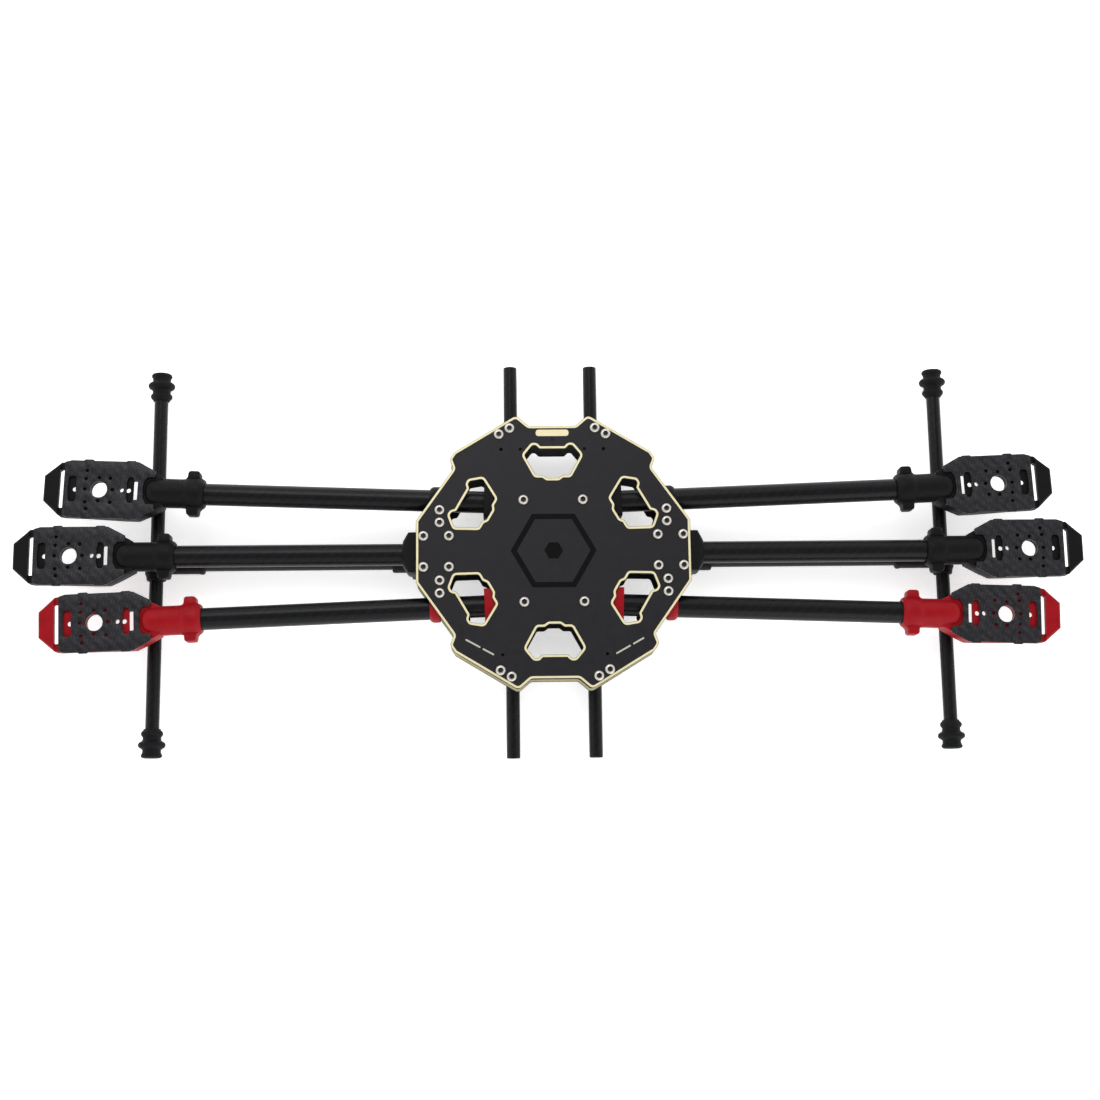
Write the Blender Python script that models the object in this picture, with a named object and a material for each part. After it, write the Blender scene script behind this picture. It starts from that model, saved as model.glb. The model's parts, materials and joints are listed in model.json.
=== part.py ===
"""Folding six-arm multirotor airframe, modelled in Blender.

The frame is shown folded for transport.  Two octagonal plates hold two fixed
arms, left and right, and four arms that swing on vertical bolts.  The folded
arms lie beside the fixed ones.  Two landing legs are raised under the fixed
arms and carry the skid tubes that the frame rests on.

World axes: +Z up, +Y to the nose, +X to the right.  The origin is on the
ground under the hub centre.  Every dimension below is in millimetres, and
heights are measured from the plane of the arm axes.
"""

import math

import bmesh
import bpy
from mathutils import Matrix, Vector

MM = 0.001
FIT_GAP = 0.3                 # air left between pieces that touch
ROUND_SIDES = 16              # sides of a tube or a large bore
SMALL_SIDES = 12              # sides of a bolt, a pin or a small hole

# Driving dimensions of the airframe
WHEELBASE = 695.0             # between the motor axes of opposite arms
PIVOT_RADIUS = 43.0           # hub centre to each folding bolt
ARM_SPREAD = 60.0             # degrees between neighbouring arms, opened
FOLDED_ANGLE = 2.09           # degrees from the fixed arms, folded
FOLDED_REACH = 306.2          # folding bolt to motor axis
FIXED_REACH = WHEELBASE / 2
GROUND_TO_ARM = 33.8          # ground to the arm axes

# Hub plates
PLATE_GAP = 22.0
PLATE_THICKNESS = 2.0
HUB_HALF_HEIGHT = PLATE_GAP / 2 - FIT_GAP
PLATE_TOP = PLATE_GAP / 2 + PLATE_THICKNESS
PLATE_QUADRANT = [
    (17.0, 92.3), (26.2, 100.2), (71.3, 73.0), (74.8, 67.8),
    (72.0, 60.8), (97.6, 24.6), (99.0, 22.5),
]
WINDOW_HALF = [
    (75.2, 9.5), (77.8, 12.0), (77.8, 14.5), (70.5, 20.5),
    (55.5, 12.3), (55.5, 7.0), (53.3, 4.0),
]
WINDOW_ANGLES = [30, 90, 150, 210, 270, 330]

# Tubes: outer and inner radius
ARM_TUBE = (8.0, 7.0)
LEG_TUBE = (7.0, 6.0)
SLIM_TUBE = (5.0, 4.0)
ARM_SOCKET_RADIUS = ARM_TUBE[0] + FIT_GAP

# Fixed arm clamp; folded arms lie in the channels at its sides
CLAMP_HALF_OUTLINE = [
    (108.8, 9.8), (105.0, 14.6), (88.0, 15.0), (88.0, 33.0), (76.0, 33.0), (76.0, 15.0), (62.0, 15.0),
]
CHANNEL_SPAN = (28.8, 36.0)
CHANNEL_HALF_HEIGHT = ARM_SOCKET_RADIUS
ARM_TUBE_START = 64.0

# End stop, measured along and across an opened arm
STOP_SPAN = (87.0, 98.0)
STOP_ACROSS = (6.3, 8.4, 23.0)

# Folding joint
PIVOT_BLOCK_RADIUS = 15.0
PIVOT_BLOCK_REACH = 28.6
PIVOT_BLOCK_WIDTH = 23.0
ARM_SOCKET_START = 16.0
PIVOT_BOLT_RADIUS = 2.6
PIVOT_HEAD_RADIUS = 3.7
PIVOT_HEAD_HEIGHT = 2.2
PIVOT_NUT_RADIUS = 4.6
INDEX_RADIUS = 11.0           # folding bolt to the index pin
INDEX_PIN_RADIUS = 2.0
INDEX_HOLE_RADIUS = 2.4
INDEX_HOLE_DEPTH = 5.5
COLLAR_SPAN = (60.5, 68.0)
COLLAR_RADIUS = 10.3

# Motor mount, measured from the motor axis; +X points away from the hub
MOUNT_HALF_OUTLINE = [
    (39.6, 9.25), (28.4, 19.4), (25.0, 19.8), (-27.2, 19.8), (-34.0, 16.6), (-40.0, 13.4), (-45.6, 10.3),
]
MOUNT_HOLLOW_HALF = [(37.2, 8.2), (27.0, 17.4), (24.0, 17.8), (-26.6, 17.8), (-30.6, 15.8)]
MOUNT_TAPER = [(-24.0, -12.0), (-20.0, -10.5), (8.0, -4.5), (41.0, -2.5), (41.0, -12.0)]
MOUNT_TOP = 6.2
DECK_BOTTOM = 4.2
CAP_HALF_OUTLINE = [(39.6, 9.25), (27.9, 19.2)]
CAP_TOP = 8.3
OUTER_SLOT = (25.3, 28.5, 14.0)
INNER_SLOT = (-27.8, -24.4, 7.0)
DECK_HOLES = [(17.6, 0.0), (-16.3, 0.0), (-21.0, 0.0)]
DECK_HOLE_RADIUS = 1.7
BOSS_RADIUS = 9.0
BOSS_BOTTOM = 0.0
BARREL_RADIUS = 10.65
BARREL_NOSE = -32.3
BARREL_END = -75.0
CLAMP_START = -61.0
TUBE_STOP = -38.0
COLLAR_OUTER_RADIUS = 12.2
WIRE_WAY_RADIUS = 4.5
EAR_PLACE = (-67.0, 11.9)
EAR_RADIUS = 4.4
EAR_HALF_HEIGHT = 6.0
MOTOR_BORE_RADIUS = 6.0
MOTOR_PLATE_SPAN = (6.5, 8.3)
MOTOR_PLATE_HALF = [
    (25.2, 19.6), (20.5, 21.0), (11.7, 21.0), (10.8, 21.9), (5.2, 21.9), (4.3, 21.0), (-18.7, 21.0),
    (-19.6, 21.7), (-25.2, 21.7), (-26.1, 21.0), (-27.6, 21.0), (-34.0, 17.6), (-40.0, 14.4),
    (-40.0, 10.2), (-34.0, 9.8), (-31.6, 5.0),
]
OUTER_CUTOUT = (15.8, 22.6, 9.5)
INNER_CUTOUT = (-27.8, -20.2, 9.0)

# Accessory rails
RAIL_OFFSET = 30.0
RAIL_HALF_LENGTH = 146.5
RAIL_HEIGHT = -24.0
HANGER_PLACE = 84.5
HANGER_LENGTH = 10.0
HANGER_RING_RADIUS = 8.0
HANGER_BAR = 4.0

# Landing gear
LEG_HEIGHT = -24.0
LEG_PIVOT = 96.0
LEG_KNUCKLE_RADIUS = 8.2
KNUCKLE_HALF_WIDTH = 10.0
FORK_CHEEK = (10.4, 13.6)
FORK_DROP = 6.5
TRUNNION_RADIUS = 3.0
LEG_SLEEVE = (104.5, 118.0)
LEG_SLEEVE_RADIUS = 9.3
LEG_TUBE_START = 106.0
SKID_PLACE = 291.0
SKID_HALF_LENGTH = 143.2
TEE_START = 256.0
TEE_END = 300.5
TEE_RADIUS = 9.0
TEE_BEAD_RADIUS = 9.4
SKID_SLEEVE_HALF_LENGTH = 14.0
SKID_SLEEVE_RADIUS = 7.6


def arc(centre, radius, start, end, steps):
    """Return points along an arc, with angles in degrees."""
    points = []
    for step in range(steps + 1):
        angle = math.radians(start + (end - start) * step / steps)
        points.append((centre[0] + radius * math.cos(angle), centre[1] + radius * math.sin(angle)))
    return points


def circle(centre, radius, sides):
    """Return the corners of a regular polygon that stands for a circle."""
    return arc(centre, radius, 0, 360, sides)[:-1]


def both_sides(half):
    """Close a half outline with its mirror image in the X axis."""
    return list(half) + [(x, -y) for x, y in reversed(half)]


def box_outline(x0, x1, y0, y1):
    """Return the four corners of a rectangle."""
    return [(x0, y0), (x1, y0), (x1, y1), (x0, y1)]


def plate_outline():
    """Return the hub plate's outline, from one quadrant and its mirror images."""
    upper = list(PLATE_QUADRANT) + [(x, -y) for x, y in reversed(PLATE_QUADRANT)]
    return upper + [(-x, -y) for x, y in upper]


def window_outline(angle):
    """Return one hub window, turned to its place round the hub."""
    turn = Matrix.Rotation(math.radians(angle), 2)
    return [tuple(turn @ Vector(point)) for point in both_sides(WINDOW_HALF)]


def place_on_axis(across, up, along, axis):
    """Turn a point of a section and its place along the axis into X, Y, Z in metres."""
    points = {
        "X": (along, across, up),
        "Y": (across, along, up),
        "Z": (across, up, along),
    }
    return Vector(points[axis]) * MM


def mesh_from(bm, name):
    """Turn an edited mesh into a smooth-shaded mesh with sharp corners kept."""
    bmesh.ops.recalc_face_normals(bm, faces=bm.faces)
    mesh = bpy.data.meshes.new(name)
    bm.to_mesh(mesh)
    bm.free()
    mesh.shade_smooth()
    mesh.set_sharp_from_angle(angle=math.radians(40))
    return mesh


def prism(name, loops, start, end, axis="Z"):
    """Extrude an outline with holes along an axis; the first loop is the outside."""
    bm = bmesh.new()
    near_loops = []
    edges = []
    for loop in loops:
        verts = [bm.verts.new(place_on_axis(x, y, start, axis)) for x, y in loop]
        edges += [bm.edges.new((a, b)) for a, b in zip(verts, verts[1:] + verts[:1])]
        near_loops.append(verts)
    direction = place_on_axis(0, 0, 1, axis)
    filled = bmesh.ops.triangle_fill(bm, use_beauty=True, edges=edges, normal=direction)
    near_faces = [item for item in filled["geom"] if isinstance(item, bmesh.types.BMFace)]
    shift = place_on_axis(0, 0, end - start, axis)
    far = {vert: bm.verts.new(vert.co + shift) for loop in near_loops for vert in loop}
    for face in near_faces:
        bm.faces.new([far[vert] for vert in reversed(face.verts)])
    for loop in near_loops:
        for a, b in zip(loop, loop[1:] + loop[:1]):
            bm.faces.new((a, b, far[b], far[a]))
    return mesh_from(bm, name)


def turned(name, profile, axis="Z", ring=False, sides=ROUND_SIDES):
    """Turn a profile of (place along the axis, radius) about the axis."""
    bm = bmesh.new()
    columns = []
    for place, radius in profile:
        if radius == 0:
            columns.append([bm.verts.new(place_on_axis(0, 0, place, axis))] * sides)
            continue
        columns.append([
            bm.verts.new(place_on_axis(x, y, place, axis)) for x, y in circle((0, 0), radius, sides)
        ])
    pairs = list(zip(columns, columns[1:]))
    if ring:
        pairs.append((columns[-1], columns[0]))
    for first, second in pairs:
        for side in range(sides):
            following = (side + 1) % sides
            corners = [first[side], first[following], second[following], second[side]]
            corners = list(dict.fromkeys(corners))
            if len(corners) > 2:
                bm.faces.new(corners)
    return mesh_from(bm, name)


def tube(name, radii, start, end, axis="X"):
    """Make a tube that is open at both ends."""
    outer, inner = radii
    profile = [(start, outer), (end, outer), (end, inner), (start, inner)]
    return turned(name, profile, axis, ring=True)


def rod(name, radius, start, end, axis="Z", sides=ROUND_SIDES):
    """Make a solid round bar."""
    return turned(name, [(start, 0), (start, radius), (end, radius), (end, 0)], axis, sides=sides)


def moved(mesh, x=0.0, y=0.0, z=0.0, turn=0.0):
    """Turn a mesh about Z by an angle in degrees, then shift it in millimetres."""
    mesh.transform(Matrix.Rotation(math.radians(turn), 4, "Z"))
    mesh.transform(Matrix.Translation(Vector((x, y, z)) * MM))
    return mesh


def combined(name, base, steps):
    """Cut solids from a base mesh, or join them to it, and return one mesh."""
    body = bpy.data.objects.new(name, base)
    bpy.context.scene.collection.objects.link(body)
    tools = []
    for operation, mesh in steps:
        tool = bpy.data.objects.new("tool", mesh)
        bpy.context.scene.collection.objects.link(tool)
        tools.append(tool)
        modifier = body.modifiers.new("shape", "BOOLEAN")
        modifier.operation = operation
        modifier.solver = "EXACT"
        modifier.object = tool
    graph = bpy.context.evaluated_depsgraph_get()
    result = bpy.data.meshes.new_from_object(body.evaluated_get(graph))
    result.name = name
    for used in [body] + tools:
        bpy.data.objects.remove(used)
    result.shade_smooth()
    result.set_sharp_from_angle(angle=math.radians(40))
    return result


def material(name, colour, roughness, metallic=0.0):
    """Make a plain material for the surface of one sub-part."""
    made = bpy.data.materials.new(name)
    made.use_nodes = True
    shader = made.node_tree.nodes["Principled BSDF"]
    shader.inputs["Base Color"].default_value = (*colour, 1.0)
    shader.inputs["Roughness"].default_value = roughness
    shader.inputs["Metallic"].default_value = metallic
    return made


SURFACES = {
    "carbon_weave": ((0.045, 0.046, 0.05), 0.45, 0.0),
    "carbon_tube": ((0.02, 0.021, 0.024), 0.4, 0.0),
    "plate_black": ((0.008, 0.009, 0.011), 0.5, 0.0),
    "black_plastic": ((0.014, 0.015, 0.017), 0.5, 0.0),
    "red_plastic": ((0.55, 0.015, 0.015), 0.42, 0.0),
    "rubber": ((0.012, 0.013, 0.015), 0.75, 0.0),
    "bolt_steel": ((0.55, 0.55, 0.57), 0.35, 1.0),
    "black_metal": ((0.02, 0.02, 0.022), 0.4, 1.0),
}


def add_node(name, mesh, surface, parent, location=(0, 0, 0)):
    """Add a named sub-part with its own material, placed under its parent."""
    node = bpy.data.objects.new(name, mesh.copy())
    node.data.materials.clear()
    node.data.materials.append(material(name + "_surface", *SURFACES[surface]))
    node.parent = parent
    node.location = Vector(location) * MM
    bpy.context.scene.collection.objects.link(node)
    return node


def add_empty(name, parent, location, angle=0.0):
    """Add an empty that carries the sub-parts of one joint, turned about Z in degrees."""
    empty = bpy.data.objects.new(name, None)
    empty.empty_display_size = 0.02
    empty.location = Vector(location) * MM
    empty.rotation_euler.z = math.radians(angle)
    empty.parent = parent
    bpy.context.scene.collection.objects.link(empty)
    return empty


def hub_plate(name, top):
    """Make one hub plate with its windows and the holes for the folding bolts."""
    loops = [plate_outline()] + [window_outline(angle) for angle in WINDOW_ANGLES]
    for x, y in pivot_places().values():
        loops.append(circle((x, y), PIVOT_BOLT_RADIUS + FIT_GAP, SMALL_SIDES))
        if not top:
            inward = math.copysign(INDEX_RADIUS, x)
            loops.append(circle((x - inward, y), INDEX_HOLE_RADIUS, SMALL_SIDES))
    low = PLATE_GAP / 2 if top else -PLATE_TOP
    return prism(name, loops, low, low + PLATE_THICKNESS)


def pivot_places():
    """Return the hub position of each folding bolt, by the name of its corner."""
    x = PIVOT_RADIUS * math.cos(math.radians(ARM_SPREAD))
    y = PIVOT_RADIUS * math.sin(math.radians(ARM_SPREAD))
    return {
        "front_right": (x, y),
        "front_left": (-x, y),
        "rear_left": (-x, -y),
        "rear_right": (x, -y),
    }


def arm_clamp():
    """Make the moulded clamp of a fixed arm, with a rest for the folded arm on each side."""
    outline = both_sides(CLAMP_HALF_OUTLINE)
    steps = [("DIFFERENCE", rod("bore", ARM_SOCKET_RADIUS, 60, 110, "X"))]
    for side in (1, -1):
        low, high = sorted(side * edge for edge in CHANNEL_SPAN)
        channel = box_outline(low, high, -CHANNEL_HALF_HEIGHT, CHANNEL_HALF_HEIGHT)
        steps.append(("DIFFERENCE", prism("channel", [channel], 74, 90, "X")))
    return combined("arm_clamp", prism("clamp", [outline], -HUB_HALF_HEIGHT, HUB_HALF_HEIGHT), steps)


def end_stop():
    """Make the channel block that an opened arm closes against."""
    lip, web, back = STOP_ACROSS
    inside = CHANNEL_HALF_HEIGHT
    section = [
        (back, -HUB_HALF_HEIGHT), (back, HUB_HALF_HEIGHT), (lip, HUB_HALF_HEIGHT), (lip, inside),
        (web, inside), (web, -inside), (lip, -inside), (lip, -HUB_HALF_HEIGHT),
    ]
    return prism("end_stop", [section], *STOP_SPAN, "X")


def pivot_block(hand):
    """Make the root block of a folding arm; hand is 1 or -1 for its opening direction."""
    half_width = PIVOT_BLOCK_WIDTH / 2
    blend = math.degrees(math.asin(half_width / PIVOT_BLOCK_RADIUS))
    outline = [(PIVOT_BLOCK_REACH, -half_width), (PIVOT_BLOCK_REACH, half_width)]
    outline += arc((0, 0), PIVOT_BLOCK_RADIUS, blend, 360 - blend, 18)
    base = prism("block", [outline], -HUB_HALF_HEIGHT, HUB_HALF_HEIGHT)
    bolt_hole = PIVOT_BOLT_RADIUS + FIT_GAP
    steps = [
        ("DIFFERENCE", rod("socket", ARM_SOCKET_RADIUS, ARM_SOCKET_START, PIVOT_BLOCK_REACH + 2, "X")),
        ("DIFFERENCE", rod("bolt_hole", bolt_hole, -12, 12, "Z", SMALL_SIDES)),
    ]
    top = INDEX_HOLE_DEPTH - HUB_HALF_HEIGHT
    for turn in (180 - FOLDED_ANGLE, 180 - ARM_SPREAD):
        hole = rod("index_hole", INDEX_HOLE_RADIUS, -12, top, "Z", SMALL_SIDES)
        moved(hole, x=INDEX_RADIUS)
        steps.append(("DIFFERENCE", moved(hole, turn=hand * turn)))
    return combined("pivot_block", base, steps)


def pivot_bolt():
    """Make the folding bolt with its round head and its lock nut."""
    head = PLATE_TOP + FIT_GAP
    nut = -head
    profile = [
        (nut - 4.0, 0), (nut - 4.0, PIVOT_NUT_RADIUS), (nut, PIVOT_NUT_RADIUS), (nut, PIVOT_BOLT_RADIUS),
        (head, PIVOT_BOLT_RADIUS), (head, PIVOT_HEAD_RADIUS),
        (head + PIVOT_HEAD_HEIGHT - 0.6, PIVOT_HEAD_RADIUS),
        (head + PIVOT_HEAD_HEIGHT, PIVOT_HEAD_RADIUS - 0.9), (head + PIVOT_HEAD_HEIGHT, 0),
    ]
    return turned("pivot_bolt", profile, sides=SMALL_SIDES)


def index_pin():
    """Make the pull pin that locks a folding arm, parked just below the block."""
    tip = -PLATE_GAP / 2 - 0.2
    profile = [
        (-27.0, 0), (-27.0, 4.4), (-26.4, 5.0), (-23.6, 5.0), (-23.0, 4.4), (-23.0, INDEX_PIN_RADIUS),
        (tip - 0.6, INDEX_PIN_RADIUS), (tip, INDEX_PIN_RADIUS - 0.6), (tip, 0),
    ]
    return turned("index_pin", profile, sides=SMALL_SIDES)


def motor_base():
    """Make the moulded motor mount: a deck with a hollow underside, an end cap and the barrel."""
    bottom = -BARREL_RADIUS + 0.2
    tray = prism("tray", [both_sides(MOUNT_HALF_OUTLINE)], bottom, MOUNT_TOP)
    steps = [
        ("UNION", prism("cap", [both_sides(CAP_HALF_OUTLINE)], 0, CAP_TOP)),
        ("UNION", mount_barrel()),
    ]
    for side in (1, -1):
        place = (EAR_PLACE[0], side * EAR_PLACE[1])
        ear = prism("ear", [circle(place, EAR_RADIUS, SMALL_SIDES)], -EAR_HALF_HEIGHT, EAR_HALF_HEIGHT)
        steps.append(("UNION", ear))
    steps += [
        ("DIFFERENCE", prism("taper", [MOUNT_TAPER], -24, 24, "Y")),
        ("DIFFERENCE", prism("hollow", [both_sides(MOUNT_HOLLOW_HALF)], bottom - 2, DECK_BOTTOM)),
        ("UNION", rod("boss", BOSS_RADIUS, BOSS_BOTTOM, DECK_BOTTOM + 0.5)),
        ("DIFFERENCE", rod("motor_bore", MOTOR_BORE_RADIUS + 0.5, BOSS_BOTTOM - 2, CAP_TOP)),
    ]
    for x0, x1, reach in (OUTER_SLOT, INNER_SLOT):
        slot = box_outline(x0, x1, -reach, reach)
        steps.append(("DIFFERENCE", prism("slot", [slot], DECK_BOTTOM - 2, CAP_TOP + 2)))
    for x, y in DECK_HOLES:
        hole = rod("hole", DECK_HOLE_RADIUS, DECK_BOTTOM - 2, CAP_TOP, "Z", SMALL_SIDES)
        steps.append(("DIFFERENCE", moved(hole, x, y)))
    wire_end = MOUNT_HOLLOW_HALF[-1][0] + 2
    steps += [
        ("DIFFERENCE", rod("arm_bore", ARM_SOCKET_RADIUS, BARREL_END - 2, TUBE_STOP, "X")),
        ("DIFFERENCE", rod("wire_way", WIRE_WAY_RADIUS, TUBE_STOP - 2, wire_end, "X", SMALL_SIDES)),
    ]
    return combined("motor_base", tray, steps)


def mount_barrel():
    """Make the barrel that grips the arm, with a round nose and a collar at its open end."""
    nose = 6.0
    profile = [(BARREL_NOSE, 0)]
    profile += arc((BARREL_NOSE - nose, BARREL_RADIUS - nose), nose, 0, 90, 3)
    profile += [
        (CLAMP_START, BARREL_RADIUS), (CLAMP_START - 3.0, COLLAR_OUTER_RADIUS),
        (BARREL_END + 4.0, COLLAR_OUTER_RADIUS), (BARREL_END, COLLAR_OUTER_RADIUS - 2.0), (BARREL_END, 0),
    ]
    return turned("barrel", profile, "X")


def motor_plate():
    """Make the thin plate that a motor bolts to."""
    loops = [both_sides(MOTOR_PLATE_HALF), circle((0, 0), MOTOR_BORE_RADIUS, ROUND_SIDES)]
    for x0, x1, reach in (OUTER_CUTOUT, INNER_CUTOUT):
        loops.append(box_outline(x0, x1, -reach, reach))
    return prism("motor_plate", loops, *MOTOR_PLATE_SPAN)


def rail_hanger():
    """Make a hanger that carries both rails under the lower plate."""
    top = -PLATE_TOP - FIT_GAP
    bar = top - HANGER_BAR
    ring = HANGER_RING_RADIUS
    outline = [(RAIL_OFFSET + ring, top), (-RAIL_OFFSET - ring, top)]
    outline += arc((-RAIL_OFFSET, RAIL_HEIGHT), ring, 180, 360, 12)
    outline += [(-RAIL_OFFSET + ring, bar), (RAIL_OFFSET - ring, bar)]
    outline += arc((RAIL_OFFSET, RAIL_HEIGHT), ring, 180, 360, 12)
    loops = [outline]
    for side in (-1, 1):
        loops.append(circle((side * RAIL_OFFSET, RAIL_HEIGHT), SLIM_TUBE[0] + FIT_GAP, ROUND_SIDES))
    return prism("rail_hanger", loops, -HANGER_LENGTH / 2, HANGER_LENGTH / 2, "Y")


def leg_bracket():
    """Make the fork under the lower plate that a landing leg folds in."""
    top = -PLATE_TOP - FIT_GAP
    roof = LEG_HEIGHT + LEG_KNUCKLE_RADIUS + 0.4
    low = LEG_HEIGHT - FORK_DROP
    inner, outer = FORK_CHEEK
    section = [
        (outer, top), (-outer, top), (-outer, low), (-inner, low), (-inner, roof), (inner, roof),
        (inner, low), (outer, low),
    ]
    fork = prism("fork", [section], LEG_PIVOT - 9.0, LEG_SLEEVE[0] - 1.0, "X")
    hole = rod("trunnion_hole", TRUNNION_RADIUS + FIT_GAP, -16, 16, "Y", SMALL_SIDES)
    return combined("leg_bracket", fork, [("DIFFERENCE", moved(hole, x=LEG_PIVOT, z=LEG_HEIGHT))])


def leg_knuckle():
    """Make the knuckle of a landing leg, with its trunnions and the sleeve that grips the tube."""
    radius = LEG_KNUCKLE_RADIUS
    start, end = (place - LEG_PIVOT for place in LEG_SLEEVE)
    outline = arc((0, 0), radius, 90, 270, 12) + [(start + 1.0, -radius), (start + 1.0, radius)]
    body = prism("body", [outline], -KNUCKLE_HALF_WIDTH, KNUCKLE_HALF_WIDTH, "Y")
    sleeve = rod("sleeve", LEG_SLEEVE_RADIUS, start, end, "X")
    pin_end = FORK_CHEEK[1] - 0.2
    trunnion = rod("trunnion", TRUNNION_RADIUS, -pin_end, pin_end, "Y", SMALL_SIDES)
    bore = rod("bore", LEG_TUBE[0] + FIT_GAP, LEG_TUBE_START - LEG_PIVOT - FIT_GAP, end + 2.0, "X")
    steps = [("UNION", sleeve), ("UNION", trunnion), ("DIFFERENCE", bore)]
    return combined("leg_knuckle", body, steps)


def skid_tee():
    """Make the tee that joins a landing leg to its skid tube."""
    profile = [
        (TEE_START, 0), (TEE_START, TEE_BEAD_RADIUS), (TEE_START + 3.0, TEE_BEAD_RADIUS),
        (TEE_START + 4.0, TEE_RADIUS), (TEE_END - 4.0, TEE_RADIUS), (TEE_END, TEE_RADIUS - 4.0),
        (TEE_END, 0),
    ]
    end = SKID_SLEEVE_HALF_LENGTH
    radius = SKID_SLEEVE_RADIUS
    cross = [(-end, 0), (-end, radius - 0.8), (1.5 - end, radius)]
    cross += [(end - 1.5, radius), (end, radius - 0.8), (end, 0)]
    sleeve = moved(turned("cross", cross, "Y"), x=SKID_PLACE)
    skid_bore = moved(rod("skid_bore", SLIM_TUBE[0] + FIT_GAP, -16, 16, "Y"), x=SKID_PLACE)
    leg_bore = rod("leg_bore", LEG_TUBE[0] + FIT_GAP, TEE_START - 2, SKID_PLACE - 7.0, "X")
    steps = [("UNION", sleeve), ("DIFFERENCE", leg_bore), ("DIFFERENCE", skid_bore)]
    return combined("skid_tee", turned("tee", profile, "X"), steps)


def foot():
    """Make a ribbed rubber foot, a cup with its closed end at +Y."""
    bore = SLIM_TUBE[0] + FIT_GAP
    profile = [
        (0, 0), (0, 7.65), (-2.6, 7.65), (-3.6, 6.4), (-5.4, 6.4), (-7.6, 9.8), (-11.2, 9.8),
        (-13.2, 6.4), (-15.4, 6.4), (-16.4, 7.9), (-19.0, 7.9), (-21.0, 6.2),
        (-21.0, bore), (-2.2, bore), (-2.2, 0),
    ]
    return turned("foot", profile, "Y")


def build_hub(hub):
    """Add the plates, the fixed arms' clamps, the stops, the bolts and the rails."""
    add_node("top_plate", hub_plate("top_plate", True), "plate_black", hub)
    add_node("bottom_plate", hub_plate("bottom_plate", False), "plate_black", hub)
    bolt = pivot_bolt()
    stop = end_stop()
    for corner, (x, y) in pivot_places().items():
        add_node("pivot_bolt_" + corner, bolt, "bolt_steel", hub, (x, y, 0))
        hand = 1 if x * y > 0 else -1
        block = stop.copy()
        if hand < 0:
            block.transform(Matrix.Scale(-1, 4, (0, 1, 0)))
            block.flip_normals()
        carrier = add_empty("stop_place_" + corner, hub, (0, 0, 0), math.degrees(math.atan2(y, x)))
        add_node("end_stop_" + corner, block, "black_plastic", carrier)
    rail = tube("rail", SLIM_TUBE, -RAIL_HALF_LENGTH, RAIL_HALF_LENGTH, "Y")
    hanger = rail_hanger()
    for side, sign in (("left", -1), ("right", 1)):
        add_node("rail_" + side, rail, "carbon_tube", hub, (sign * RAIL_OFFSET, 0, RAIL_HEIGHT))
    for end, sign in (("front", 1), ("rear", -1)):
        add_node("rail_hanger_" + end, hanger, "black_plastic", hub, (0, sign * HANGER_PLACE, 0))


def build_motor_mount(corner, arm, reach, base, plate, colour):
    """Add one motor mount at the end of an arm."""
    add_node("motor_base_" + corner, base, colour, arm, (reach, 0, 0))
    add_node("motor_plate_" + corner, plate, "carbon_weave", arm, (reach, 0, 0))


def build_fixed_arms(hub, base, plate):
    """Add the left and the right arm, which don't fold."""
    clamp = arm_clamp()
    arm_tube = tube("arm_tube", ARM_TUBE, ARM_TUBE_START, FIXED_REACH + TUBE_STOP - FIT_GAP)
    for side, angle in (("mid_left", 180), ("mid_right", 0)):
        arm = add_empty("arm_axis_" + side, hub, (0, 0, 0), angle)
        add_node("arm_clamp_" + side, clamp, "black_plastic", arm)
        add_node("arm_tube_" + side, arm_tube, "carbon_tube", arm)
        build_motor_mount(side, arm, FIXED_REACH, base, plate, "black_plastic")


def build_folding_arms(hub, base, plate):
    """Add the four arms that fold on vertical bolts, each with its index pin."""
    arm_tube = tube("arm_tube", ARM_TUBE, ARM_SOCKET_START + FIT_GAP, FOLDED_REACH + TUBE_STOP - FIT_GAP)
    collar = tube("collar", (COLLAR_RADIUS, ARM_SOCKET_RADIUS), *COLLAR_SPAN)
    pin = index_pin()
    for corner, (x, y) in pivot_places().items():
        hand = 1 if x * y > 0 else -1
        facing = 0 if x > 0 else 180
        arm = add_empty("arm_axis_" + corner, hub, (x, y, 0), facing + hand * FOLDED_ANGLE)
        colour = "black_plastic" if y > 0 else "red_plastic"
        add_node("pivot_block_" + corner, pivot_block(hand), colour, arm)
        add_node("arm_tube_" + corner, arm_tube, "carbon_tube", arm)
        add_node("arm_collar_" + corner, collar, colour, arm)
        build_motor_mount(corner, arm, FOLDED_REACH, base, plate, colour)
        pin_place = (x - math.copysign(INDEX_RADIUS, x), y, 0)
        add_node("index_pin_" + corner, pin, "black_metal", hub, pin_place)


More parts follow.
